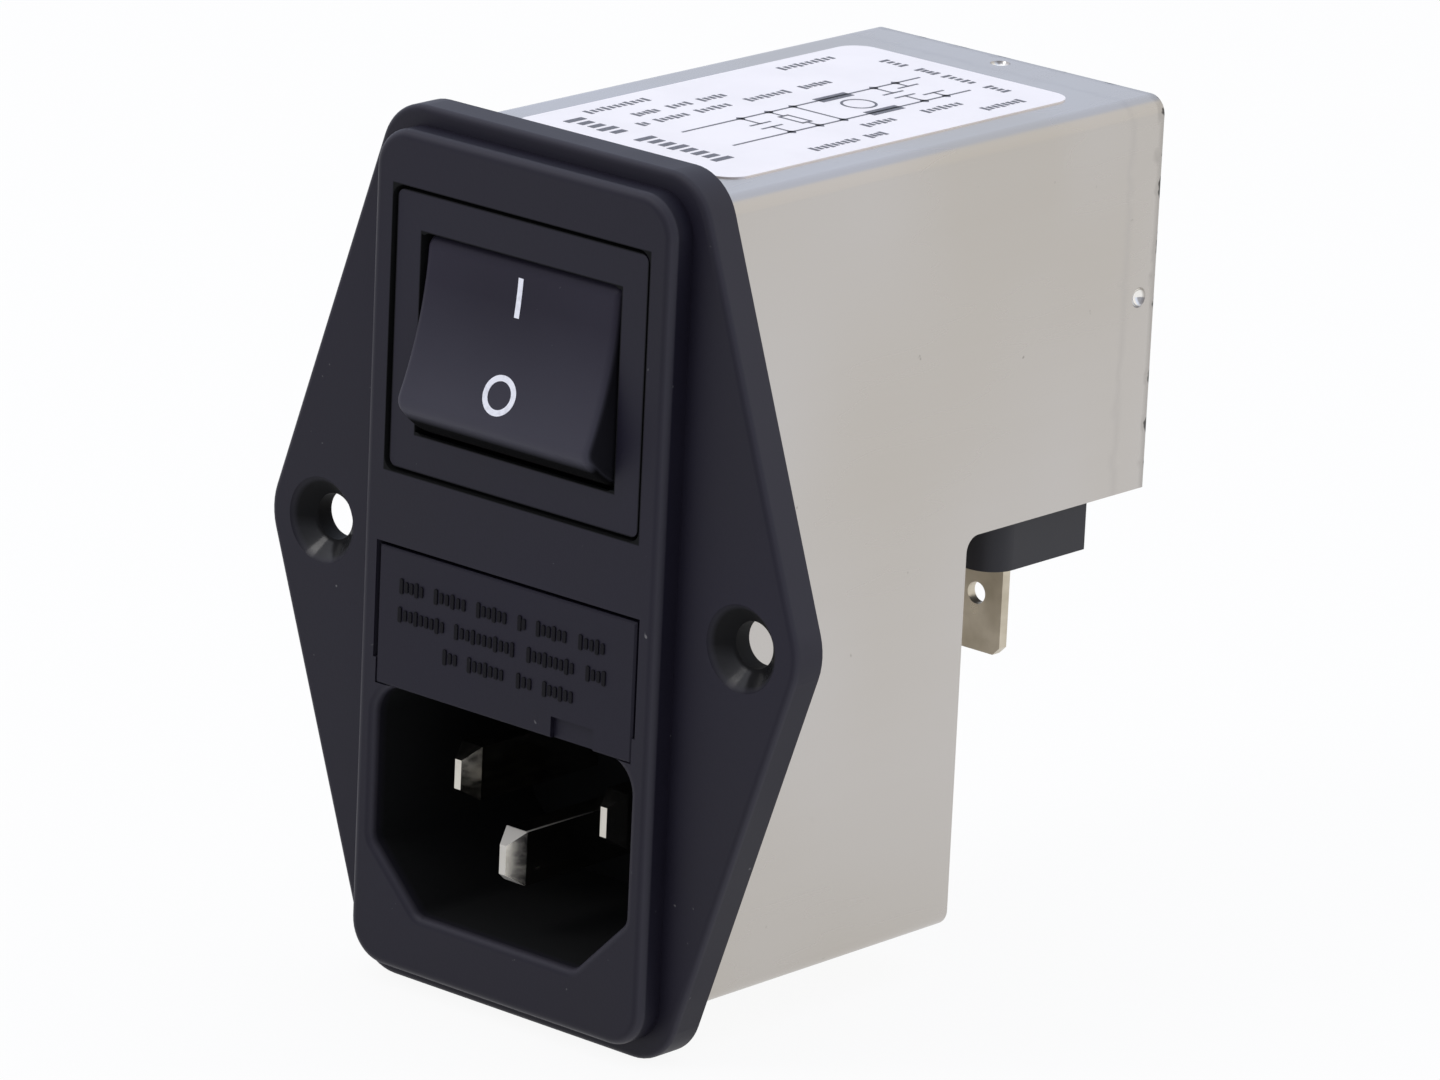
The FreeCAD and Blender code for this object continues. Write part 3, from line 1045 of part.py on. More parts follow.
def earth_strap():
    """A bent strip from the earth pin's tail to the lower rear wall of the can."""
    body = new_body("earth_strap")
    start, end = INLET_BACK, f"({CAN_STEP} - can_sheet)"
    under = f"(-{EARTH_DROP} - pin_height / 2)"
    strip = sketch_on(body, "YZ_Plane")
    polygon(strip, [
        (start, under), (start, f"{under} - strap_sheet"), (f"{end} - strap_sheet", f"{under} - strap_sheet"),
        (f"{end} - strap_sheet", f"{under} - strap_foot"), (end, f"{under} - strap_foot"), (end, under)])
    pad(body, strip, "strap_width", symmetric=True)


def write_parts():
    """Checks every object and writes each sub-part's solid."""
    doc.recompute()
    for thing in doc.Objects:
        if "Invalid" in thing.State or "Error" in thing.State:
            raise RuntimeError(f"{thing.Label} did not compute")
    for node in nodes:
        if node.Shape.isNull() or not node.Shape.isValid():
            raise RuntimeError(f"{node.Label} has no valid shape")
    os.makedirs("parts", exist_ok=True)
    for node in nodes:
        node.Shape.exportStep(f"parts/{node.Label}.step")


front_moulding()
inlet_pin("earth_pin", "0", EARTH_DROP, "earth_pin_recess")
for pole, sign in POLES.items():
    inlet_pin(f"{pole}_pin", mirrored(sign, "pin_pitch / 2"), PIN_DROP, "pin_recess")
    for end in FUSE_ENDS:
        leaf_contact(f"{pole}_{end}_leaf_contact", sign, end)
fuse_drawer()
switch_frame()
rocker()
for pole, sign in POLES.items():
    fuse(pole, sign)
    plunger(pole, sign)
    rocking_contact(pole, sign)
    pivot_terminal(pole, sign)
    load_terminal(pole, sign)
    y_capacitor(pole, sign)
filter_can()
rear_cover()
label()
terminal_block()
for name, middle in tab_middles().items():
    blade_tab(name, middle)
circuit_board()
choke()
x_capacitor()
bleed_resistor()
earth_strap()
write_parts()
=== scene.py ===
import math

import bpy
from mathutils import Matrix, Vector


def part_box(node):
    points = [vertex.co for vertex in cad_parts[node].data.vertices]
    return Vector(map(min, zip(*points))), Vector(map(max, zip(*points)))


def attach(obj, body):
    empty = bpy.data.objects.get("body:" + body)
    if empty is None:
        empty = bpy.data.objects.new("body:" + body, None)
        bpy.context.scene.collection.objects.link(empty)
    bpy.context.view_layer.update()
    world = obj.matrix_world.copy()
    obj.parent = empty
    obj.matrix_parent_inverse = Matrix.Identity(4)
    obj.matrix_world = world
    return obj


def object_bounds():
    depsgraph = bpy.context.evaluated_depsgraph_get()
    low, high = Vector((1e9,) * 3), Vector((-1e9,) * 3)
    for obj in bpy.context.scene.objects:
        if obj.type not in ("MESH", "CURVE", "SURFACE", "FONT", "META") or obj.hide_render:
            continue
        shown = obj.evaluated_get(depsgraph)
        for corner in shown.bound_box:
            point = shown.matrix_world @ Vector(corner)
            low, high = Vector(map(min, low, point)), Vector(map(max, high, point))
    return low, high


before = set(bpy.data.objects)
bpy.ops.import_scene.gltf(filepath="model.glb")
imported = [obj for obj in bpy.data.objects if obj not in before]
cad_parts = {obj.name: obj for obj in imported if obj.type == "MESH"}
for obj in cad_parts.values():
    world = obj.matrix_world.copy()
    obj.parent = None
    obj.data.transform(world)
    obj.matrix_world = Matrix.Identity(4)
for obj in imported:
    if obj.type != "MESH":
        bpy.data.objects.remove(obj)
cad_low, cad_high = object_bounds()


# Front moulding: the diamond flange with its raised centre, the inlet cup, the drawer's tunnel and
# the switch bay, injection moulded in one piece from black thermoplastic with a fine eroded skin.
# Its two ears are countersunk for the screws that hold it on a panel.
MM = 0.001
MOULDED_BLACK = (0.0112, 0.0097, 0.0182)
SKIN_GRAIN = 0.22
SKIN_DEPTH = 0.012
SKIN_RELIEF = 0.5
FLOW_GRAIN = 70.0
FLOW_SPREAD = (0.3, 0.7)
FLOW_TONE = (0.9, 1.12)
FLOW_ROUGHNESS = (-0.05, 0.05)
DUST_GREY = (0.32, 0.31, 0.3)
DUST_GRAIN = 1500.0
DUST_SPREAD = (0.79, 0.85)
DUST_SHARE = 0.4
# Painted highlight: a paler tone on the rounded edges of the flange and the boss, and on the flange's walls
# above its middle.
EDGE_PAINTED_HIGHLIGHT = (0.034, 0.0315, 0.042)
RIM_RAMP = (0.03, 0.2)
FLANGE_FACE = -2.8
FLANGE_ROUND = (0.6, 0.4)
FLANGE_WALL_RISE = (-2.0, 2.0)
BOSS_FACE = -4.9
BOSS_ROUND = (0.75, 0.6)
# Painted shade for the inlet cup, the switch bay and the switch frame's gaps and window.
RECESS_PAINTED_SHADE = (0.0048, 0.0051, 0.0051)
INLET_DEPTH = (0.3, 1.5)
INLET_ROOM = ((-12.3, 12.3), (-26.3, -9.7))
INLET_SOFT = 0.02
BAY_ROOM = ((-12.2, 12.2), (5.93, 26.93))
BAY_SOFT = 0.1
# Painted shade in the countersinks and screw holes.
HOLE_PAINTED_SHADE = (0.003, 0.003, 0.0035)
HOLE_ROUGHNESS = 0.7
HOLE_HALF_PITCH = 20.0
HOLE_EDGE = (3.2, 2.7)
HOLE_SEAT = (1.8, 1.95)
HOLE_POLISH = 0.75
HOLE_POLISH_RISE = (-0.4, -1.3)
MIX_FIRST, MIX_SECOND, MIX_RESULT = 6, 7, 2
SKIN_OUTPUTS = {"Colour": "NodeSocketColor", "Roughness": "NodeSocketFloat", "Height": "NodeSocketFloat"}


def add_node(tree, kind, **settings):
    """Adds a shader node and sets its own settings."""
    node = tree.nodes.new(kind)
    for name, value in settings.items():
        setattr(node, name, value)
    return node


def feed(tree, socket, value):
    """Feeds a socket from another socket, or sets it to a plain number, vector or colour."""
    if isinstance(value, bpy.types.NodeSocket):
        tree.links.new(value, socket)
    elif socket.type == "RGBA":
        socket.default_value = (*value, 1.0)
    else:
        socket.default_value = value


def open_group(name, inputs, outputs):
    """Opens a node group with named sockets, and gives its tree with what goes in and what comes out."""
    tree = bpy.data.node_groups.new(name, "ShaderNodeTree")
    for socket, kind in inputs.items():
        tree.interface.new_socket(socket, in_out="INPUT", socket_type=kind)
    for socket, kind in outputs.items():
        tree.interface.new_socket(socket, in_out="OUTPUT", socket_type=kind)
    return tree, add_node(tree, "NodeGroupInput").outputs, add_node(tree, "NodeGroupOutput").inputs


def add_noise(tree, scale, detail, stretch=(1.0, 1.0, 1.0)):
    """Adds a noise on object coordinates, scaled in waves to the metre and stretched if asked."""
    mapping = add_node(tree, "ShaderNodeMapping")
    feed(tree, mapping.inputs["Vector"], add_node(tree, "ShaderNodeTexCoord").outputs["Object"])
    feed(tree, mapping.inputs["Scale"], stretch)
    noise = add_node(tree, "ShaderNodeTexNoise")
    feed(tree, noise.inputs["Vector"], mapping.outputs["Vector"])
    feed(tree, noise.inputs["Scale"], scale)
    feed(tree, noise.inputs["Detail"], detail)
    return noise.outputs["Fac"]


def add_math(tree, operation, first, *others):
    """Adds arithmetic on one value, or on two or more in turn, each a socket or a plain number."""
    for other in others or (0.0,):
        node = add_node(tree, "ShaderNodeMath", operation=operation)
        feed(tree, node.inputs[0], first)
        feed(tree, node.inputs[1], other)
        first = node.outputs["Value"]
    return first


def add_range(tree, value, ends, to=(0.0, 1.0)):
    """Adds a remap of a value from one range to another, held at its ends."""
    node = add_node(tree, "ShaderNodeMapRange")
    names = ("Value", "From Min", "From Max", "To Min", "To Max")
    for name, number in zip(names, (value, *ends, *to)):
        feed(tree, node.inputs[name], number)
    return node.outputs["Result"]


def add_tint(tree, amount, first, second):
    """Adds a mix of two colours, each a socket or a plain colour, on a mix node's numbered sockets."""
    node = add_node(tree, "ShaderNodeMix", data_type="RGBA")
    feed(tree, node.inputs["Factor"], amount)
    feed(tree, node.inputs[MIX_FIRST], first)
    feed(tree, node.inputs[MIX_SECOND], second)
    return node.outputs[MIX_RESULT]


def shader_of(finish):
    """Gives a material's tree and its shader."""
    return finish.node_tree, finish.node_tree.nodes["Principled BSDF"]


def open_finish(name, **constants):
    """Opens a material, sets the constants of its shader, and gives it with its tree and shader."""
    finish = bpy.data.materials.new(name)
    finish.use_nodes = True
    tree, shader = shader_of(finish)
    for socket, value in constants.items():
        feed(tree, shader.inputs[socket.replace("_", " ")], value)
    return finish, tree, shader


def add_relief(tree, shader, height, depth, strength):
    """Feeds a height to the shader's normal through a bump of a depth in millimetres."""
    bump = add_node(tree, "ShaderNodeBump")
    feed(tree, bump.inputs["Strength"], strength)
    feed(tree, bump.inputs["Distance"], depth * MM)
    feed(tree, bump.inputs["Height"], height)
    feed(tree, shader.inputs["Normal"], bump.outputs["Normal"])


def place_skin(tree, shader, group, depth, strength, **values):
    """Places a skin's group in a material with its own values, and feeds the shader from it."""
    node = add_node(tree, "ShaderNodeGroup", node_tree=group)
    for name, value in values.items():
        feed(tree, node.inputs[name.replace("_", " ")], value)
    feed(tree, shader.inputs["Base Color"], node.outputs["Colour"])
    feed(tree, shader.inputs["Roughness"], node.outputs["Roughness"])
    add_relief(tree, shader, node.outputs["Height"], depth, strength)


def dress(finish, *names):
    """Gives a finish to CAD nodes."""
    for name in names:
        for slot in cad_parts[name].material_slots:
            slot.material = finish


skin, skin_in, skin_out = open_group(
    "moulded_skin",
    {"Colour": "NodeSocketColor", "Grain Size": "NodeSocketFloat", "Base Roughness": "NodeSocketFloat",
     "Dust": "NodeSocketFloat"},
    SKIN_OUTPUTS)
skin_flow = add_noise(skin, FLOW_GRAIN, detail=3.0)
skin_tone = add_node(skin, "ShaderNodeHueSaturation")
feed(skin, skin_tone.inputs["Color"], skin_in["Colour"])
feed(skin, skin_tone.inputs["Value"], add_range(skin, skin_flow, FLOW_SPREAD, FLOW_TONE))
skin_dusty = add_math(skin, "MULTIPLY", skin_in["Dust"],
                      add_range(skin, add_noise(skin, DUST_GRAIN, detail=1.0), DUST_SPREAD))
feed(skin, skin_out["Colour"], add_tint(skin, skin_dusty, skin_tone.outputs["Color"], DUST_GREY))
feed(skin, skin_out["Roughness"], add_math(skin, "ADD", skin_in["Base Roughness"],
                                           add_range(skin, skin_flow, FLOW_SPREAD, FLOW_ROUGHNESS)))
feed(skin, skin_out["Height"],
     add_noise(skin, add_math(skin, "DIVIDE", 1.0 / MM, skin_in["Grain Size"]), detail=2.0))


def mould_finish(name, colour, roughness, grain=SKIN_GRAIN, dust=DUST_SHARE, depth=SKIN_DEPTH, **constants):
    """Makes a moulded plastic: its colour and roughness, its skin's grain in millimetres, its dust."""
    finish, tree, shader = open_finish(name, **constants)
    place_skin(tree, shader, skin, depth, SKIN_RELIEF,
               Colour=colour, Grain_Size=grain, Base_Roughness=roughness, Dust=dust)
    return finish


def add_axes(tree, source="Object"):
    """Adds the three object coordinates in metres, or the three shares of another direction."""
    axes = add_node(tree, "ShaderNodeSeparateXYZ")
    feed(tree, axes.inputs["Vector"], add_node(tree, "ShaderNodeTexCoord").outputs[source])
    return axes.outputs


def add_fade(tree, distance, ends, to=(0.0, 1.0)):
    """Adds a mask that fades in between two distances in millimetres."""
    return add_range(tree, distance, [end * MM for end in ends], to)


def add_behind(tree, axes, face, depths):
    """Adds a mask that fades in between two depths behind a face, all in millimetres."""
    return add_fade(tree, axes["Y"], [face + depth for depth in depths])


def add_room(tree, axes, room, soft):
    """Adds a mask that is full inside a rectangle across and up the front, and fades over its edge."""
    sides = []
    for axis, (low, high) in zip(("X", "Z"), room):
        sides.append(add_fade(tree, axes[axis], (low, low + soft)))
        sides.append(add_fade(tree, axes[axis], (high, high - soft)))
    return add_math(tree, "MULTIPLY", *sides)


def fed_by(shader, name):
    """Gives the socket that feeds one of the shader's inputs."""
    return shader.inputs[name].links[0].from_socket


def repaint(tree, shader, mask, colour):
    """Brings a finish to another colour where a mask is full."""
    feed(tree, shader.inputs["Base Color"], add_tint(tree, mask, fed_by(shader, "Base Color"), colour))


def roughen(tree, shader, mask, roughness):
    """Brings a finish to another roughness where a mask is full."""
    feed(tree, shader.inputs["Roughness"],
         add_range(tree, mask, (0.0, 1.0), (fed_by(shader, "Roughness"), roughness)))


def paint_shade(tree, shader, mask, colour, roughness=1.0):
    """Paints shade where a mask is full: turns a finish dark there, and as rough as asked."""
    repaint(tree, shader, mask, colour)
    roughen(tree, shader, mask, roughness)


front_finish = mould_finish("front_plastic", MOULDED_BLACK, roughness=0.5,
                            Specular_IOR_Level=0.21, Coat_Roughness=0.15)
front_tree, front_shader = shader_of(front_finish)
front_axes = add_axes(front_tree)

# Painted highlight: the rounded edges of the flange and the boss, and the flange's walls above its middle,
# are turned paler.
flange_edge = add_behind(front_tree, front_axes, FLANGE_FACE, RIM_RAMP)
flange_wall_highlight = add_math(front_tree, "MULTIPLY", flange_edge,
                       add_fade(front_tree, front_axes["Z"], FLANGE_WALL_RISE))
flange_round_highlight = add_math(front_tree, "MULTIPLY", flange_edge,
                        add_behind(front_tree, front_axes, FLANGE_FACE, FLANGE_ROUND))
boss_round_highlight = add_math(front_tree, "MULTIPLY", add_behind(front_tree, front_axes, BOSS_FACE, RIM_RAMP),
                      add_behind(front_tree, front_axes, BOSS_FACE, BOSS_ROUND))
repaint(front_tree, front_shader,
        add_math(front_tree, "MAXIMUM", flange_wall_highlight, flange_round_highlight, boss_round_highlight), EDGE_PAINTED_HIGHLIGHT)

# Painted shade: the inside of the inlet cup and the walls of the switch bay are turned dark.
inlet_mask = add_math(front_tree, "MULTIPLY", add_behind(front_tree, front_axes, BOSS_FACE, INLET_DEPTH),
                      add_room(front_tree, front_axes, INLET_ROOM, INLET_SOFT))
bay_mask = add_room(front_tree, front_axes, BAY_ROOM, BAY_SOFT)
paint_shade(front_tree, front_shader, add_math(front_tree, "MAXIMUM", inlet_mask, bay_mask), RECESS_PAINTED_SHADE)

# Painted shade: the countersinks and the screw holes are turned darker than the flange.
hole_side = add_math(front_tree, "SUBTRACT", add_math(front_tree, "ABSOLUTE", front_axes["X"]),
                     HOLE_HALF_PITCH * MM)
hole_reach = add_math(front_tree, "SQRT", add_math(
    front_tree, "ADD", add_math(front_tree, "MULTIPLY", hole_side, hole_side),
    add_math(front_tree, "MULTIPLY", front_axes["Z"], front_axes["Z"])))
hole_mask = add_fade(front_tree, hole_reach, HOLE_EDGE)
paint_shade(front_tree, front_shader, hole_mask, HOLE_PAINTED_SHADE, HOLE_ROUGHNESS)
hole_polish = add_math(front_tree, "MULTIPLY", hole_mask, add_fade(front_tree, hole_reach, HOLE_SEAT),
                       add_fade(front_tree, front_axes["Z"], HOLE_POLISH_RISE, (0.0, HOLE_POLISH)))
feed(front_tree, front_shader.inputs["Coat Weight"], hole_polish)
dress(front_finish, "front_moulding")


# Line, neutral and earth pins of the inlet: flat brass blades with tapered tips, nickel plated and
# pressed through the cup's floor. Drawing marks run along each blade, and plugs have worn the longer
# earth pin dull on its tip and on the burred edge of its top.
NICKEL = (0.61, 0.585, 0.53)
NICKEL_DULL = (0.54, 0.51, 0.45)
PIN_ROUGHNESS = 0.14
PIN_DEPTH = 0.001
PIN_TIP_LENGTH = 1.4
PIN_TIP_SOFT = 0.1
PIN_BURR = (0.72, 0.95)
PIN_SIDE = (0.3, 0.1)
PIN_WIPE = 9.0
PIN_WIPE_SHARE = (1.0, 0.1)
WORN_ROUGHNESS = 0.5
WORN_METALLIC = 0.55
DRAWN_DEPTH = 0.004
DRAWN_RELIEF = 0.4
DRAWN_GRAIN = 2600.0
DRAWN_STRETCH = (1.0, 0.05, 1.0)
DRAWN_SPREAD = (0.3, 0.7)
DRAWN_ROUGHNESS = (-0.05, 0.05)
CLOUD_GRAIN = 260.0
CLOUD_DULL_SPREAD = (0.45, 0.72)
CLOUD_SPREAD = (0.35, 0.7)
CLOUD_ROUGHNESS = (-0.06, 0.1)
METAL_INPUTS = {"Colour": "NodeSocketColor", "Dull Colour": "NodeSocketColor",
                "Base Roughness": "NodeSocketFloat"}

drawn, drawn_in, drawn_out = open_group("drawn_metal", METAL_INPUTS, SKIN_OUTPUTS)
drawn_marks = add_noise(drawn, DRAWN_GRAIN, detail=3.0, stretch=DRAWN_STRETCH)
drawn_clouds = add_noise(drawn, CLOUD_GRAIN, detail=4.0)
feed(drawn, drawn_out["Colour"], add_tint(drawn, add_range(drawn, drawn_clouds, CLOUD_DULL_SPREAD),
                                          drawn_in["Colour"], drawn_in["Dull Colour"]))
feed(drawn, drawn_out["Roughness"],
     add_math(drawn, "ADD", drawn_in["Base Roughness"],
              add_range(drawn, drawn_clouds, CLOUD_SPREAD, CLOUD_ROUGHNESS),
              add_range(drawn, drawn_marks, DRAWN_SPREAD, DRAWN_ROUGHNESS)))
feed(drawn, drawn_out["Height"], drawn_marks)


def metal_finish(name, colour, dull, roughness, depth=DRAWN_DEPTH):
    """Makes a drawn or plated metal: its bright and dull colours and how rough its bright parts are."""
    finish, tree, shader = open_finish(name, Metallic=1.0)
    place_skin(tree, shader, drawn, depth, DRAWN_RELIEF,
               Colour=colour, Dull_Colour=dull, Base_Roughness=roughness)
    return finish


dress(metal_finish("nickel_pins", NICKEL, NICKEL_DULL, PIN_ROUGHNESS, PIN_DEPTH), "line_pin", "neutral_pin")

earth_finish = metal_finish("nickel_earth_pin", NICKEL, NICKEL_DULL, PIN_ROUGHNESS, PIN_DEPTH)
earth_tree, earth_shader = shader_of(earth_finish)
earth_axes = add_axes(earth_tree)
earth_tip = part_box("earth_pin")[0].y / MM + PIN_TIP_LENGTH
earth_taper = add_fade(earth_tree, earth_axes["Y"], (earth_tip + PIN_TIP_SOFT, earth_tip))
earth_wiped = add_fade(earth_tree, earth_axes["Y"], (earth_tip, earth_tip + PIN_WIPE), PIN_WIPE_SHARE)
earth_burr = add_math(earth_tree, "MULTIPLY", add_fade(earth_tree, earth_axes["X"], PIN_BURR), earth_wiped)
earth_facing = add_math(earth_tree, "ABSOLUTE", add_axes(earth_tree, "Normal")["X"])
earth_worn = add_math(earth_tree, "MULTIPLY", add_range(earth_tree, earth_facing, PIN_SIDE),
                      add_math(earth_tree, "MAXIMUM", earth_taper, earth_burr))
roughen(earth_tree, earth_shader, earth_worn, WORN_ROUGHNESS)
feed(earth_tree, earth_shader.inputs["Metallic"],
     add_range(earth_tree, earth_worn, (0.0, 1.0), (1.0, WORN_METALLIC)))
dress(earth_finish, "earth_pin")


# Fuse drawer: a plate flush with the front and a tray that slides in the tunnel, moulded from the
# same black plastic. Three rows of low raised ticks are moulded on the plate's face, coloured darker than
# it as painted shade.
NOTICE_ROWS = (
    (-2.15, ((-9.0, 2.4), (-5.3, 3.2), (-1.3, 3.0), (1.6, 0.8), (4.4, 3.0), (8.2, 2.6))),
    (-4.25, ((-8.0, 4.6), (-1.9, 5.9), (4.4, 4.6), (8.7, 2.0))),
    (-6.35, ((-5.1, 1.5), (-1.7, 3.6), (2.0, 1.6), (5.2, 3.0))),
)
NOTICE_TICK = (0.34, 1.15)
NOTICE_GAP = 0.2
NOTICE_CORNER = 0.12
NOTICE_RELIEF = 0.1
NOTICE_EDGE = 0.03
# Painted shade: the ticks are coloured darker than the plate, standing in for the shade on their relief.
NOTICE_PAINTED_SHADE = (0.0045, 0.004, 0.006)
TICK_HEIGHTS = (1.0, 0.7, 0.72, 0.95, 0.7, 0.74, 0.7)
ACROSS = Vector((1.0, 0.0, 0.0))
UPRIGHT = math.pi / 2

dress(mould_finish("drawer_plastic", MOULDED_BLACK, roughness=0.52, Specular_IOR_Level=0.19), "fuse_drawer")


def open_piece(name):
    """Starts an empty mesh object at the origin, in edit mode, to add shapes to."""
    bpy.ops.object.select_all(action="DESELECT")
    bpy.ops.mesh.primitive_plane_add(size=MM, location=(0.0, 0.0, 0.0))
    piece = bpy.context.object
    piece.name = name
    piece.data.name = name
    bpy.ops.object.mode_set(mode="EDIT")
    bpy.ops.mesh.select_all(action="SELECT")
    bpy.ops.mesh.delete(type="VERT")
    return piece


def lay_bar(middle, size, tilt=0.0, turn=0.0):
    """Adds a bar of a width and a height in millimetres, lying flat or tilted to stand upright."""
    width, height = (extent * MM for extent in size)
    bpy.ops.mesh.select_all(action="DESELECT")
    bpy.ops.mesh.primitive_plane_add(size=1.0, location=middle, rotation=(tilt, 0.0, 0.0))
    stretch = (width, 1.0, height) if tilt else (width, height, 1.0)
    bpy.ops.transform.resize(value=stretch, center_override=middle)
    if turn:
        bpy.ops.transform.rotate(value=turn, orient_axis="Z", center_override=middle)


def lay_ring(middle, radius, stroke, count, tilt=0.0):
    """Adds a flat ring of an outer radius and a stroke in millimetres, lying flat or upright."""
    bpy.ops.mesh.select_all(action="DESELECT")
    bpy.ops.mesh.primitive_circle_add(vertices=count, radius=radius * MM, fill_type="NGON",
                                      location=middle, rotation=(tilt, 0.0, 0.0))
    bpy.ops.mesh.inset(thickness=stroke * MM)
    bpy.ops.mesh.delete(type="FACE")


def lay_ticks(middle, direction, length, tick, gap, tilt=0.0):
    """Adds a run of ticks of differing heights, along a direction from its middle."""
    count = max(1, round((length + gap) / (tick[0] + gap)))
    for index in range(count):
        offset = (index + 0.5) * length / count - length / 2
        height = tick[1] * TICK_HEIGHTS[index % len(TICK_HEIGHTS)]
        size = (tick[0], height) if direction.x else (height, tick[0])
        lay_bar(middle + direction * offset * MM, size, tilt)


def close_piece(piece, finish, body, slot, *modifiers):
    """Leaves edit mode, applies the modifiers in turn, and gives the piece its finish and body. The slot is
    not used.
    """
    bpy.ops.object.mode_set(mode="OBJECT")
    for kind, settings in modifiers:
        modifier = piece.modifiers.new(kind, kind)
        for name, value in settings.items():
            setattr(modifier, name, value)
        bpy.ops.object.modifier_apply(modifier=modifier.name)
    piece.data.materials.clear()
    piece.data.materials.append(finish)
    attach(piece, body)


drawer_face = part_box("fuse_drawer")[0].y
notice = open_piece("drawer_notice_bars")
for row_height, runs in NOTICE_ROWS:
    for run_middle, run_length in runs:
        lay_ticks(Vector((run_middle * MM, drawer_face, row_height * MM)), ACROSS,
                  run_length, NOTICE_TICK, NOTICE_GAP, UPRIGHT)
bpy.ops.mesh.select_all(action="SELECT")
bpy.ops.mesh.bevel(offset=NOTICE_CORNER * MM, segments=3, affect="VERTICES")
# The ticks' finish is darker than the plate: painted shade.
close_piece(notice, mould_finish("notice_plastic", NOTICE_PAINTED_SHADE, roughness=0.6, Specular_IOR_Level=0.12),
            "fuse_drawer", "front_plastic",
            ("SOLIDIFY", {"thickness": NOTICE_RELIEF * MM, "offset": 1.0}),
            ("BEVEL", {"width": NOTICE_EDGE * MM, "segments": 2, "limit_method": "ANGLE"}))


# Fuses: two glass tubes of 5 by 20 mm, each with two pressed nickel-plated caps and a fine wire
# between them. They lie in the drawer's tray and move with it.
FILM_GRAIN = 300.0
FILM_STRETCH = (1.0, 0.3, 1.0)
FILM_SPREAD = (0.4, 0.75)
FILM_ROUGHNESS = (0.02, 0.14)

fuse_glass, fuse_tree, fuse_shader = open_finish(
    "fuse_glass", Base_Color=(0.96, 0.98, 0.97), Transmission_Weight=1.0, IOR=1.47)
fuse_film = add_noise(fuse_tree, FILM_GRAIN, detail=4.0, stretch=FILM_STRETCH)
feed(fuse_tree, fuse_shader.inputs["Roughness"],
     add_range(fuse_tree, fuse_film, FILM_SPREAD, FILM_ROUGHNESS))
dress(fuse_glass, "line_fuse_glass", "neutral_fuse_glass")
dress(metal_finish("nickel_caps", colour=(0.68, 0.65, 0.6), dull=(0.55, 0.52, 0.46), roughness=0.2),
      *(f"{pole}_fuse_{piece}" for pole in ("line", "neutral")
        for piece in ("front_cap", "rear_cap", "wire")))


# Contacts and terminals: leaf springs that press on the fuses' caps, the switch's rocking contacts
# with their pivot and load terminals, and the earth strap. All are stamped from brass strip.
dress(metal_finish("contact_brass", colour=(0.68, 0.49, 0.2), dull=(0.5, 0.34, 0.14), roughness=0.3),
      *(f"{pole}_{piece}" for pole in ("line", "neutral")
        for piece in ("front_leaf_contact", "rear_leaf_contact", "pivot_terminal", "load_terminal",
                      "rocking_contact")),
      "earth_strap")


# Switch frame: the bezel and box of the rocker switch, moulded in black and snapped into the bay.
# Its skin is a little smoother than the front's.
BEZEL_BLACK = (0.0108, 0.0094, 0.0185)
BEZEL_FACE = ((-11.78, 11.78), (6.35, 26.51))
BEZEL_SOFT = 0.12
WINDOW_ROOM = ((-9.57, 9.57), (8.96, 23.9))
WINDOW_SOFT = 0.1

bezel_finish = mould_finish("switch_plastic", BEZEL_BLACK, roughness=0.46, grain=0.3,
                            Specular_IOR_Level=0.21)
bezel_tree, bezel_shader = shader_of(bezel_finish)
bezel_axes = add_axes(bezel_tree)
# Painted shade: the rim round the bezel's face, at its gaps to the bay, and the window round the rocker are
# turned dark.
bezel_edge = add_math(bezel_tree, "SUBTRACT", 1.0, add_room(bezel_tree, bezel_axes, BEZEL_FACE, BEZEL_SOFT))
bezel_window = add_room(bezel_tree, bezel_axes, WINDOW_ROOM, WINDOW_SOFT)
paint_shade(bezel_tree, bezel_shader,
             add_math(bezel_tree, "MAXIMUM", bezel_edge, bezel_window), RECESS_PAINTED_SHADE)
dress(bezel_finish, "switch_frame")


# Rocker: a hollow black key that tips on two trunnions in the frame's side walls. A stroke for on
# and a ring for off are printed on its face in white ink. Its lower half is paler, as painted light.
ROCKER_PIVOT = Vector((0.0, -1.0, 16.43)) * MM
ROCKER_TILT = math.radians(14.0)
ROCKER_FACE_REACH = 5.0
ROCKER_BLACK = (0.0262, 0.0235, 0.0345)
# Painted light: the lower half of the rocker's face is paler, in patches of a noise.
ROCKER_PAINTED_LIGHT = (0.0545, 0.0525, 0.0665)
PAINTED_LIGHT_RISE = (20.5, 12.0)
PAINTED_LIGHT_GRAIN = 140.0
PAINTED_LIGHT_SPREAD = (0.3, 0.7)
PAINTED_LIGHT_SHARE = (0.85, 1.0)
# Painted shade on the rocker's lower end face and on its sides.
ROCKER_END_PAINTED_SHADE = (0.0012, 0.0011, 0.0014)
ROCKER_END_RADIUS = 7.76
ROCKER_END_FADE = (0.7, 0.2)
ROCKER_END_DROP = 2.0
ROCKER_END_LIT = (0.35, 1.1)
ROCKER_HALF_WIDTH = 9.15
ROCKER_SIDE_FADE = (0.2, 0.02)
ROCKER_SIDE_SHADE = 0.8
MARK_REACH = 9.0
MARK_RISE = 3.45
MARK_STROKE = 0.45
STROKE_LENGTH = 2.8
STROKE_CUTS = 9
RING_RADIUS = 1.5
RING_LEAN = 0.91
RING_SIDES = 64
INK_LIFT = 0.004
INK_THICKNESS = 0.02


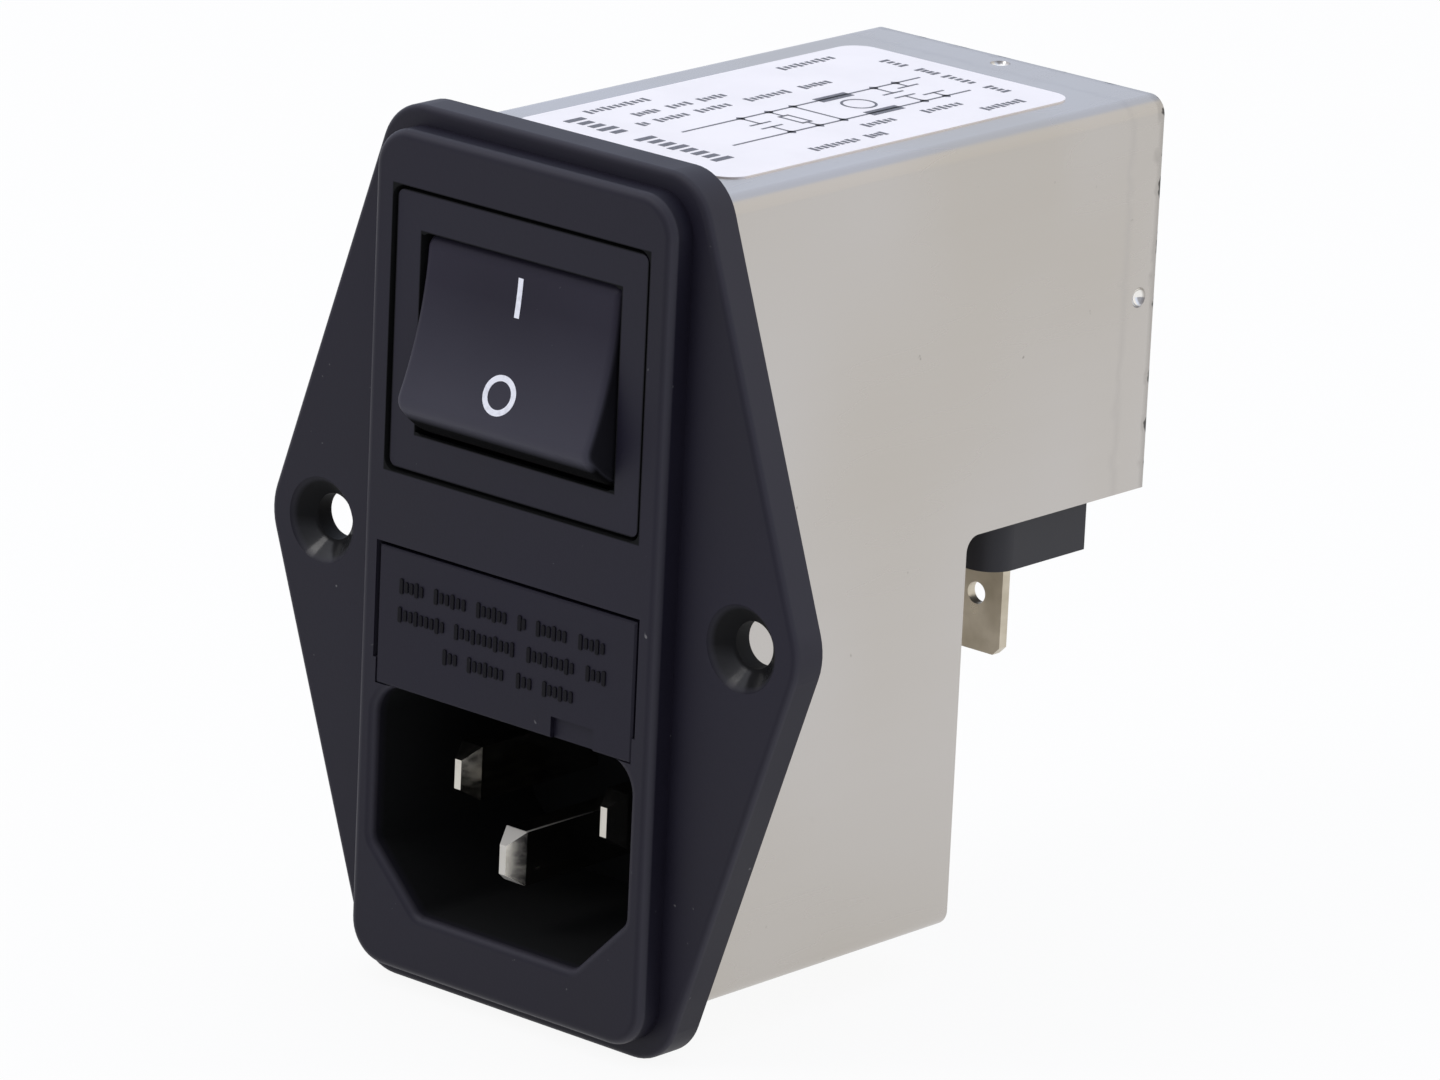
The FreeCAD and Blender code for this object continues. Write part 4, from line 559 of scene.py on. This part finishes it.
def add_reach(tree, middle, weights):
    """Adds the distance from a middle, in metres, with each axis weighed."""
    offset = add_node(tree, "ShaderNodeVectorMath", operation="SUBTRACT")
    feed(tree, offset.inputs[0], add_node(tree, "ShaderNodeTexCoord").outputs["Object"])
    feed(tree, offset.inputs[1], middle)
    weighed = add_node(tree, "ShaderNodeVectorMath", operation="MULTIPLY")
    feed(tree, weighed.inputs[0], offset.outputs["Vector"])
    feed(tree, weighed.inputs[1], weights)
    reach = add_node(tree, "ShaderNodeVectorMath", operation="LENGTH")
    feed(tree, reach.inputs[0], weighed.outputs["Vector"])
    return reach.outputs["Value"]


rocker_finish = mould_finish("rocker_plastic", ROCKER_BLACK, roughness=0.45, grain=0.35, dust=0.3,
                             Specular_IOR_Level=0.08)
rocker_tree, rocker_shader = shader_of(rocker_finish)
rocker_axes = add_axes(rocker_tree)
# Painted light: the rocker's face turns paler towards its lower end, in patches of a noise.
rocker_light_patches = add_noise(rocker_tree, PAINTED_LIGHT_GRAIN, detail=3.0)
rocker_painted_light = add_math(rocker_tree, "MULTIPLY", add_fade(rocker_tree, rocker_axes["Z"], PAINTED_LIGHT_RISE),
                          add_range(rocker_tree, rocker_light_patches, PAINTED_LIGHT_SPREAD, PAINTED_LIGHT_SHARE))
repaint(rocker_tree, rocker_shader, rocker_painted_light, ROCKER_PAINTED_LIGHT)

# Painted shade: the rocker's lower end face, behind its lit rounding, and its sides are turned dark.
pivot_height = ROCKER_PIVOT.z / MM
rocker_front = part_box("rocker")[0].y / MM
rocker_end = add_math(
    rocker_tree, "MULTIPLY",
    add_fade(rocker_tree, add_reach(rocker_tree, ROCKER_PIVOT, (0.0, 1.0, 1.0)),
             [ROCKER_END_RADIUS - depth for depth in ROCKER_END_FADE]),
    add_fade(rocker_tree, rocker_axes["Z"], (pivot_height, pivot_height - ROCKER_END_DROP)),
    add_behind(rocker_tree, rocker_axes, rocker_front, ROCKER_END_LIT))
rocker_side = add_fade(rocker_tree, add_math(rocker_tree, "ABSOLUTE", rocker_axes["X"]),
                       [ROCKER_HALF_WIDTH - depth for depth in ROCKER_SIDE_FADE], (0.0, ROCKER_SIDE_SHADE))
paint_shade(rocker_tree, rocker_shader,
             add_math(rocker_tree, "MAXIMUM", rocker_end, rocker_side), ROCKER_END_PAINTED_SHADE)
dress(rocker_finish, "rocker")


def worn_finish(name, colour, worn, grain, detail, spread, **constants):
    """Makes a film or an ink whose colour turns to a worn one in patches of a noise."""
    finish, tree, shader = open_finish(name, **constants)
    patches = add_range(tree, add_noise(tree, grain, detail), spread)
    feed(tree, shader.inputs["Base Color"], add_tint(tree, patches, colour, worn))
    return finish


white_ink = worn_finish("white_ink", colour=(0.86, 0.86, 0.9), worn=(0.62, 0.62, 0.66),
                        grain=1800.0, detail=3.0, spread=(0.5, 0.8), Roughness=0.5)


def mark_middle(rise):
    """Gives the place in front of the rocker from which a mark is printed, at a height along its face."""
    height = rise * math.cos(ROCKER_TILT) + ROCKER_FACE_REACH * math.sin(ROCKER_TILT)
    return Vector((0.0, -MARK_REACH * MM, ROCKER_PIVOT.z + height * MM))


def print_mark(piece):
    """Lays a flat mark on the rocker's hollow face and gives it the thickness of the ink."""
    close_piece(piece, white_ink, "rocker", "rocker_plastic",
                ("SHRINKWRAP", {"target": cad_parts["rocker"], "wrap_method": "PROJECT",
                                "use_project_y": True, "offset": INK_LIFT * MM}),
                ("SOLIDIFY", {"thickness": INK_THICKNESS * MM, "offset": 1.0}))


on_mark = open_piece("rocker_on_mark")
lay_bar(mark_middle(MARK_RISE), (MARK_STROKE, STROKE_LENGTH), UPRIGHT)
bpy.ops.mesh.subdivide(number_cuts=STROKE_CUTS)
print_mark(on_mark)

off_mark = open_piece("rocker_off_mark")
lay_ring(mark_middle(-MARK_RISE), RING_RADIUS, MARK_STROKE, RING_SIDES, UPRIGHT)
bpy.ops.mesh.select_all(action="SELECT")
bpy.ops.transform.resize(value=(1.0, 1.0, RING_LEAN), center_override=mark_middle(-MARK_RISE))
print_mark(off_mark)


# Plungers and springs: a nylon plunger for each pole slides in the rocker, and a small spring of
# steel wire keeps its round tip on the rocking contact.
dress(mould_finish("plunger_plastic", colour=(0.72, 0.7, 0.64), roughness=0.4, dust=0.0),
      "line_plunger", "neutral_plunger")
dress(metal_finish("spring_steel", colour=(0.5, 0.49, 0.47), dull=(0.36, 0.34, 0.31), roughness=0.28),
      "line_plunger_spring", "neutral_plunger_spring")


# Circuit board: glass-fibre laminate with a green lacquer, standing on the terminal block's neck
# inside the can. The weave of the cloth shows faintly through the lacquer.
BOARD_GREEN = (0.012, 0.06, 0.024)
BOARD_THREAD = (0.02, 0.1, 0.04)
THREAD_SCALE = 420.0
THREAD_WAVER = 0.6

board_finish, board_tree, board_shader = open_finish("board_laminate", Coat_Weight=0.3, Roughness=0.35)
board_threads = []
for direction in ("X", "Y"):
    wave = add_node(board_tree, "ShaderNodeTexWave", bands_direction=direction)
    feed(board_tree, wave.inputs["Vector"], add_node(board_tree, "ShaderNodeTexCoord").outputs["Object"])
    feed(board_tree, wave.inputs["Scale"], THREAD_SCALE)
    feed(board_tree, wave.inputs["Distortion"], THREAD_WAVER)
    board_threads.append(wave.outputs["Fac"])
board_weave = add_math(board_tree, "MAXIMUM", *board_threads)
feed(board_tree, board_shader.inputs["Base Color"],
     add_tint(board_tree, board_weave, BOARD_GREEN, BOARD_THREAD))
add_relief(board_tree, board_shader, board_weave, depth=0.01, strength=0.4)
dress(board_finish, "circuit_board")


# Choke: a pressed ferrite ring with a winding of enamelled copper wire on each half. The turns lie
# side by side round the ring, so they fan out from its middle.
CHOKE_MIDDLE = Vector((0.0, 27.3, 9.62)) * MM
TURNS_ROUND = 66
WIRE_COPPER = (0.6, 0.22, 0.09)
WIRE_SHADE = (0.1, 0.03, 0.012)
WIRE_GROOVE = (-1.0, -0.2)
WIRE_ROUGHNESS = (0.4, 0.26)

dress(mould_finish("ferrite", colour=(0.028, 0.027, 0.026), roughness=0.62, grain=0.12, dust=0.2,
                   depth=0.03), "choke_core")
wire_finish, wire_tree, wire_shader = open_finish("enamelled_wire", Metallic=1.0, Coat_Weight=0.6)
wire_place = add_node(wire_tree, "ShaderNodeMapping", vector_type="POINT")
feed(wire_tree, wire_place.inputs["Location"], -CHOKE_MIDDLE)
feed(wire_tree, wire_place.inputs["Vector"], add_node(wire_tree, "ShaderNodeTexCoord").outputs["Object"])
wire_axes = add_node(wire_tree, "ShaderNodeSeparateXYZ")
feed(wire_tree, wire_axes.inputs["Vector"], wire_place.outputs["Vector"])
wire_angle = add_math(wire_tree, "ARCTAN2", wire_axes.outputs["Y"], wire_axes.outputs["X"])
wire_round = add_math(wire_tree, "SINE", add_math(wire_tree, "MULTIPLY", wire_angle, TURNS_ROUND))
feed(wire_tree, wire_shader.inputs["Base Color"],
     add_tint(wire_tree, add_range(wire_tree, wire_round, WIRE_GROOVE), WIRE_SHADE, WIRE_COPPER))
feed(wire_tree, wire_shader.inputs["Roughness"],
     add_range(wire_tree, wire_round, (-1.0, 1.0), WIRE_ROUGHNESS))
add_relief(wire_tree, wire_shader, wire_round, depth=0.15, strength=0.8)
dress(wire_finish, "line_choke_winding", "neutral_choke_winding")


# Capacitors and bleed resistor: a boxed film capacitor, two ceramic discs dipped in blue lacquer
# and one resistor with a pale lacquered body, all soldered to the board.
dress(mould_finish("capacitor_box", colour=(0.42, 0.36, 0.2), roughness=0.42, grain=0.5), "x_capacitor")
dress(mould_finish("capacitor_disc", colour=(0.03, 0.1, 0.32), roughness=0.32, grain=1.4, depth=0.05),
      "line_y_capacitor", "neutral_y_capacitor")
dress(mould_finish("resistor_body", colour=(0.45, 0.36, 0.24), roughness=0.38, grain=0.9, depth=0.02),
      "bleed_resistor")


# Filter can and rear cover: thin steel sheet, tin plated, cut and folded to an L round the filter.
# The cover's flange slides into the open rear and round pips pressed in from outside hold it.
# Each pip carries a painted glint in its middle and a ring of painted shade round it.
SHEET_BRIGHT = (0.548, 0.521, 0.496)
SHEET_DULL = (0.522, 0.488, 0.443)
SHEET_PRESSED = (0.44, 0.417, 0.395)
PIP_PAINTED_GLINT = (0.88, 0.86, 0.82)
# The dark of the sheared rear edge, also used for the pips' ring of painted shade.
SHEARED_EDGE_AND_PIP_SHADE = (0.1, 0.095, 0.09)
SHEET_SPECK = (0.2, 0.185, 0.16)
SHEET_ROUGHNESS = 0.26
SHEET_DEPTH = 0.01
SHEET_RELIEF = 0.2
STREAK_GRAIN = 500.0
STREAK_STRETCH = (1.0, 0.04, 1.0)
STREAK_DULL = ((0.4, 0.7), (0.0, 0.06))
STREAK_ROUGHNESS = ((0.3, 0.7), (-0.01, 0.01))
STAIN_GRAIN = 48.0
STAIN_STRETCH = (1.0, 1.0, 0.7)
STAIN_DULL = ((0.35, 0.65), (0.0, 0.94))
STAIN_ROUGHNESS = ((0.3, 0.7), (-0.02, 0.03))
SPECK_GRAIN = 900.0
SPECK_SHARE = ((0.76, 0.8), (0.0, 0.5))
BURR_GRAIN = 500.0
BURR_SPREAD = (0.5, 0.7)
BURR_DEPTH = 0.5
BURR_EDGE = (0.0, -0.15)
LIP_DEPTH = (0.6, 0.2)
LIP_TONE = 0.2
SEAM_DEPTH = 3.4
SEAM_WIDTH = 0.6
SEAM_TONE = 0.3
PIP_SETBACK = 1.75
PIP_RISE = 15.2
PIP_FLATNESS = 0.2
PIP_EDGE = (0.825, 0.7125)
PIP_RING = 0.15
PIP_CENTRE = (0.72, 0.6)
PIP_POLISH = 0.12

rolled, rolled_in, rolled_out = open_group("rolled_sheet", METAL_INPUTS, SKIN_OUTPUTS)
rolled_streaks = add_noise(rolled, STREAK_GRAIN, detail=2.0, stretch=STREAK_STRETCH)
rolled_stains = add_noise(rolled, STAIN_GRAIN, detail=1.0, stretch=STAIN_STRETCH)
rolled_specks = add_noise(rolled, SPECK_GRAIN, detail=2.0)
rolled_dull = add_math(rolled, "ADD", add_range(rolled, rolled_stains, *STAIN_DULL),
                       add_range(rolled, rolled_streaks, *STREAK_DULL))
rolled_tone = add_tint(rolled, rolled_dull, rolled_in["Colour"], rolled_in["Dull Colour"])
feed(rolled, rolled_out["Colour"],
     add_tint(rolled, add_range(rolled, rolled_specks, *SPECK_SHARE), rolled_tone, SHEET_SPECK))
feed(rolled, rolled_out["Roughness"],
     add_math(rolled, "ADD", rolled_in["Base Roughness"],
              add_range(rolled, rolled_stains, *STAIN_ROUGHNESS),
              add_range(rolled, rolled_streaks, *STREAK_ROUGHNESS)))
feed(rolled, rolled_out["Height"], rolled_stains)


def sheet_finish(name):
    """Makes a plated sheet with the marks of its rolling."""
    finish, tree, shader = open_finish(name, Metallic=1.0)
    place_skin(tree, shader, rolled, SHEET_DEPTH, SHEET_RELIEF,
               Colour=SHEET_BRIGHT, Dull_Colour=SHEET_DULL, Base_Roughness=SHEET_ROUGHNESS)
    return finish


dress(sheet_finish("cover_sheet"), "rear_cover")

can_low, can_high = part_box("filter_can")
can_finish = sheet_finish("plated_sheet")
can_tree, can_shader = shader_of(can_finish)
can_burr = add_range(can_tree, add_noise(can_tree, BURR_GRAIN, detail=4.0), BURR_SPREAD,
                     (0.0, BURR_DEPTH * MM))
can_depth = add_math(can_tree, "SUBTRACT", can_high.y, add_axes(can_tree)["Y"], can_burr)
can_seam = add_math(can_tree, "ABSOLUTE", add_math(can_tree, "SUBTRACT", can_depth, SEAM_DEPTH * MM))
can_rim = add_math(can_tree, "MAXIMUM", add_fade(can_tree, can_depth, BURR_EDGE),
                   add_fade(can_tree, can_depth, LIP_DEPTH, (0.0, LIP_TONE)))
# Painted glint and painted shade on the pips: a pale middle and a dark ring round each.
pip_shade_rings, pip_glint_centres = [], []
for pip_across, pip_up, pip_weights in ((0.0, can_high.z, (1.0, 1.0, PIP_FLATNESS)),
                                        (can_high.x, PIP_RISE * MM, (PIP_FLATNESS, 1.0, 1.0)),
                                        (can_low.x, PIP_RISE * MM, (PIP_FLATNESS, 1.0, 1.0))):
    pip_reach = add_reach(can_tree, (pip_across, can_high.y - PIP_SETBACK * MM, pip_up), pip_weights)
    pip_shade_rings.append(add_fade(can_tree, pip_reach, PIP_EDGE, (0.0, PIP_RING)))
    pip_glint_centres.append(add_fade(can_tree, pip_reach, PIP_CENTRE))
pip_glints = add_math(can_tree, "ADD", *pip_glint_centres)
repaint(can_tree, can_shader,
        add_fade(can_tree, can_seam, (0.0, SEAM_WIDTH), (SEAM_TONE, 0.0)), SHEET_PRESSED)
repaint(can_tree, can_shader, add_math(can_tree, "ADD", *pip_shade_rings), SHEARED_EDGE_AND_PIP_SHADE)
repaint(can_tree, can_shader, pip_glints, PIP_PAINTED_GLINT)
repaint(can_tree, can_shader, can_rim, SHEARED_EDGE_AND_PIP_SHADE)
feed(can_tree, can_shader.inputs["Roughness"],
     add_math(can_tree, "SUBTRACT", fed_by(can_shader, "Roughness"),
              add_math(can_tree, "MULTIPLY", pip_glints, PIP_POLISH)))
dress(can_finish, "filter_can")


# Terminal block: a black glass-filled moulding under the can's step that the blade tabs stand in.
# The glass fibres leave its skin a little greyer and rougher than the front's.
dress(mould_finish("terminal_plastic", colour=(0.03, 0.029, 0.033), roughness=0.55, grain=0.4, dust=0.2,
                   Specular_IOR_Level=0.36), "terminal_block")


# Blade tabs: line, neutral and earth, stamped from brass strip 0.8 mm thick and tinned. A hole near
# each tip takes a wire or the detent of a push-on receptacle.
dress(metal_finish("tinned_tabs", colour=(0.62, 0.56, 0.45), dull=(0.52, 0.46, 0.35), roughness=0.36),
      "line_tab", "neutral_tab", "earth_tab")


# Label: a white polyester film stuck on the can's top and printed in black, whose cut edge picks up
# the sheet's shine. Rows of ticks stand round a simple diagram of the filter: two lines with their
# chokes, capacitors and a resistor.
FIBRE_GRAIN = 2400.0
CUT_EDGE = (0.7, 0.3)
PRINT_THICKNESS = 0.015
LABEL_TICK, LABEL_GAP = (0.34, 0.95), 0.26
HEADING_TICK, HEADING_GAP = (0.62, 1.9), 0.5
LABEL_LINES = (
    (-8.6, ((9.4, 6.6), (29.8, 6.0))),
    (-6.0, ((9.6, 2.6), (13.1, 2.4), (16.6, 2.8))),
    (-3.9, ((7.0, 1.0), (10.0, 3.4), (14.4, 3.6), (20.2, 4.6), (25.4, 3.2))),
    (6.3, ((20.6, 3.4), (27.5, 4.2))),
    (8.5, ((13.3, 5.0), (17.7, 2.0), (31.6, 4.4))),
)
LABEL_CROSS_LINES = (
    (34.9, LABEL_TICK, LABEL_GAP, ((-4.6, 2.4), (-1.4, 2.0), (1.6, 3.0), (5.2, 2.2))),
    (4.0, HEADING_TICK, HEADING_GAP, ((-5.6, 5.2), (2.6, 8.2))),
)
ALONG = Vector((0.0, 1.0, 0.0))
DIAGRAM_STROKE = 0.2
DIAGRAM_ENDS = (7.5, 33.0)
LINE_ACROSS, NEUTRAL_ACROSS = -0.6, 4.2
FRONT_CAPACITOR, RESISTOR, BRIDGE, REAR_CAPACITOR, EARTH_CAPACITORS = 13.6, 16.6, 19.2, 28.0, 30.4
JUNCTION_SIZE = 0.62
PLATE_HALF = 1.0
PLATES_ACROSS = (1.25, 2.35)
RESISTOR_ENDS = (0.8, 3.0)
RESISTOR_HALF = 0.45
EARTH_LEAD = 1.2
CHOKE_ALONG = 23.6
CHOKE_BAR = (1.1, 3.4)
CORE_ACROSS = 1.8
CORE_RADIUS = 1.35
CORE_SIDES = 40

label_low, label_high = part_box("label")
label_film = worn_finish("label_film", colour=(0.98, 0.93, 0.92), worn=(0.93, 0.883, 0.875),
                         grain=160.0, detail=4.0, spread=(0.4, 0.75), Roughness=0.42, Coat_Weight=0.15)
label_tree, label_shader = shader_of(label_film)
add_relief(label_tree, label_shader, add_noise(label_tree, FIBRE_GRAIN, detail=2.0),
           depth=0.004, strength=0.3)
feed(label_tree, label_shader.inputs["Metallic"],
     add_range(label_tree, add_axes(label_tree, "Normal")["Z"], CUT_EDGE))
dress(label_film, "label")

black_ink = worn_finish("black_ink", colour=(0.11, 0.11, 0.125), worn=(0.2, 0.2, 0.225),
                        grain=5200.0, detail=2.0, spread=(0.45, 0.75), Roughness=0.55)


def label_spot(along, across):
    """Gives a place on the label from its distance behind the front edge and its distance across."""
    return Vector((across * MM, label_low.y + along * MM, label_high.z))


def draw_run(along, across, to_along, to_across):
    """Prints a straight stroke of the diagram between two places, along or across the label."""
    length = abs(to_along - along) + DIAGRAM_STROKE
    width = abs(to_across - across) + DIAGRAM_STROKE
    lay_bar(label_spot((along + to_along) / 2, (across + to_across) / 2), (width, length))


label_print = open_piece("label_print")
for across, runs in LABEL_LINES:
    for along, length in runs:
        lay_ticks(label_spot(along, across), ALONG, length, LABEL_TICK, LABEL_GAP)
for along, tick, gap, runs in LABEL_CROSS_LINES:
    for across, length in runs:
        lay_ticks(label_spot(along, across), ACROSS, length, tick, gap)
for across in (LINE_ACROSS, NEUTRAL_ACROSS):
    draw_run(DIAGRAM_ENDS[0], across, DIAGRAM_ENDS[1], across)
    lay_bar(label_spot(CHOKE_ALONG, across), CHOKE_BAR)
    for along in (FRONT_CAPACITOR, RESISTOR, BRIDGE, REAR_CAPACITOR, EARTH_CAPACITORS):
        lay_bar(label_spot(along, across), (JUNCTION_SIZE, JUNCTION_SIZE), turn=math.pi / 4)
for along in (FRONT_CAPACITOR, REAR_CAPACITOR):
    draw_run(along, LINE_ACROSS, along, PLATES_ACROSS[0])
    draw_run(along, PLATES_ACROSS[1], along, NEUTRAL_ACROSS)
    for across in PLATES_ACROSS:
        draw_run(along - PLATE_HALF, across, along + PLATE_HALF, across)
draw_run(RESISTOR, LINE_ACROSS, RESISTOR, RESISTOR_ENDS[0])
draw_run(RESISTOR, RESISTOR_ENDS[1], RESISTOR, NEUTRAL_ACROSS)
for along in (RESISTOR - RESISTOR_HALF, RESISTOR + RESISTOR_HALF):
    draw_run(along, RESISTOR_ENDS[0], along, RESISTOR_ENDS[1])
for across in RESISTOR_ENDS:
    draw_run(RESISTOR - RESISTOR_HALF, across, RESISTOR + RESISTOR_HALF, across)
for across, lead in ((LINE_ACROSS, EARTH_LEAD), (NEUTRAL_ACROSS, -EARTH_LEAD)):
    draw_run(EARTH_CAPACITORS - PLATE_HALF, across + lead, EARTH_CAPACITORS + PLATE_HALF, across + lead)
    draw_run(EARTH_CAPACITORS, across, EARTH_CAPACITORS, across + lead)
draw_run(BRIDGE, LINE_ACROSS, BRIDGE, NEUTRAL_ACROSS)
lay_ring(label_spot(CHOKE_ALONG, CORE_ACROSS), CORE_RADIUS, DIAGRAM_STROKE, CORE_SIDES)
close_piece(label_print, black_ink, "module", "label_film",
            ("SOLIDIFY", {"thickness": PRINT_THICKNESS * MM, "offset": 1.0}))


# Studio: a white floor under the flange, a broad cool light overhead and a soft light high at the
# front left, in a pale room that is dimmer at the front right. The floor keeps a faint shadow.
FLOOR_SIZE = 6.0
FLOOR_GAP = 0.02
FLOOR_WHITE = (0.9, 0.9, 0.9)
SHADOW_SHARE = 0.08
MIRRORED_SHADOW_SHARE = 0.22
ROOM_COOL = (0.78, 0.852, 1.02)
ROOM_WARM = (1.0, 0.99, 0.98)
ROOM_FRONT_LEFT = (0.93, 0.95, 1.05)
ROOM_FRONT_RIGHT = (0.36, 0.37, 0.42)
WARM_SIDE = (0.06, 0.2)
WARM_BACK = (0.3, 0.6)
FRONT_SWEEP = (-0.5, 0.5)
FRONT_EDGE = (-0.15, 0.15)

bpy.ops.object.select_all(action="DESELECT")
bpy.ops.mesh.primitive_plane_add(size=FLOOR_SIZE, location=(0.0, 0.0, cad_low.z - FLOOR_GAP * MM))
floor = bpy.context.object
floor.name = "floor"
bpy.ops.object.transform_apply(location=True, rotation=True, scale=True)
floor_finish, floor_tree, floor_shader = open_finish(
    "floor_white", Base_Color=FLOOR_WHITE, Roughness=0.9, Specular_IOR_Level=0.0)
floor_path = add_node(floor_tree, "ShaderNodeLightPath").outputs
floor_mirrored = add_math(floor_tree, "MAXIMUM", floor_path["Is Glossy Ray"],
                          floor_path["Is Transmission Ray"])
floor_seen = add_math(
    floor_tree, "MAXIMUM",
    add_math(floor_tree, "MULTIPLY", floor_path["Is Camera Ray"], 1.0 - SHADOW_SHARE),
    add_math(floor_tree, "MULTIPLY", floor_mirrored, 1.0 - MIRRORED_SHADOW_SHARE))
floor_mix = add_node(floor_tree, "ShaderNodeMixShader")
floor_glow = add_node(floor_tree, "ShaderNodeEmission")
feed(floor_tree, floor_mix.inputs[0], floor_seen)
feed(floor_tree, floor_mix.inputs[1], floor_shader.outputs["BSDF"])
feed(floor_tree, floor_mix.inputs[2], floor_glow.outputs["Emission"])
feed(floor_tree, floor_tree.nodes["Material Output"].inputs["Surface"], floor_mix.outputs["Shader"])
floor.data.materials.append(floor_finish)

room = bpy.data.worlds.new("room")
bpy.context.scene.world = room
room.use_nodes = True
room_tree = room.node_tree
room_axes = add_axes(room_tree, "Generated")
room_wall = add_math(room_tree, "MULTIPLY", add_range(room_tree, room_axes["X"], WARM_SIDE),
                     add_range(room_tree, room_axes["Y"], WARM_BACK))
room_back = add_tint(room_tree, room_wall, ROOM_COOL, ROOM_WARM)
room_front = add_tint(room_tree, add_range(room_tree, room_axes["X"], FRONT_SWEEP),
                      ROOM_FRONT_LEFT, ROOM_FRONT_RIGHT)
feed(room_tree, room_tree.nodes["Background"].inputs["Color"],
     add_tint(room_tree, add_range(room_tree, room_axes["Y"], FRONT_EDGE), room_front, room_back))


def hang_softbox(name, place, aim, size, power, colour):
    """Hangs a square soft light at a place, turned to its aim."""
    lamp = bpy.data.lights.new(name, "AREA")
    lamp.size = size
    lamp.energy = power
    lamp.color = colour
    holder = bpy.data.objects.new(name, lamp)
    bpy.context.scene.collection.objects.link(holder)
    holder.matrix_world = (Matrix.Translation(place)
                           @ (aim - place).to_track_quat("-Z", "Y").to_matrix().to_4x4())


hang_softbox("overhead_light", place=Vector((-0.1, 0.05, 0.75)), aim=Vector((0.0, 0.02, 0.0)),
             size=0.7, power=0.8, colour=(0.96, 0.98, 1.0))
hang_softbox("front_light", place=Vector((-0.25, -0.6, 0.7)), aim=Vector((0.0, 0.0, 0.0)),
             size=0.3, power=1.35, colour=(1.0, 0.98, 0.96))
bpy.context.scene.view_settings.view_transform = "Standard"


# Camera: a long lens in front of the right side and a little above. It looks at a point inside the
# can and is turned slightly about its own axis.
SENSOR_WIDTH = 36.0
LENS = 223.57
CLIP_END = 20.0
CAMERA_AIM = Vector((0.0, 17.56, -0.811)) * MM
CAMERA_REACH = 0.6398
CAMERA_AZIMUTH = math.radians(40.954)
CAMERA_ELEVATION = math.radians(16.706)
CAMERA_ROLL = math.radians(2.628)

camera_data = bpy.data.cameras.new("camera")
camera_data.sensor_fit = "HORIZONTAL"
camera_data.sensor_width = SENSOR_WIDTH
camera_data.lens = LENS
camera_data.clip_end = CLIP_END
camera = bpy.data.objects.new("camera", camera_data)
bpy.context.scene.collection.objects.link(camera)
camera.matrix_world = (Matrix.Translation(CAMERA_AIM)
                       @ Matrix.Rotation(CAMERA_AZIMUTH, 4, "Z")
                       @ Matrix.Rotation(math.pi / 2 - CAMERA_ELEVATION, 4, "X")
                       @ Matrix.Rotation(CAMERA_ROLL, 4, "Z")
                       @ Matrix.Translation((0.0, 0.0, CAMERA_REACH)))
bpy.context.scene.camera = camera
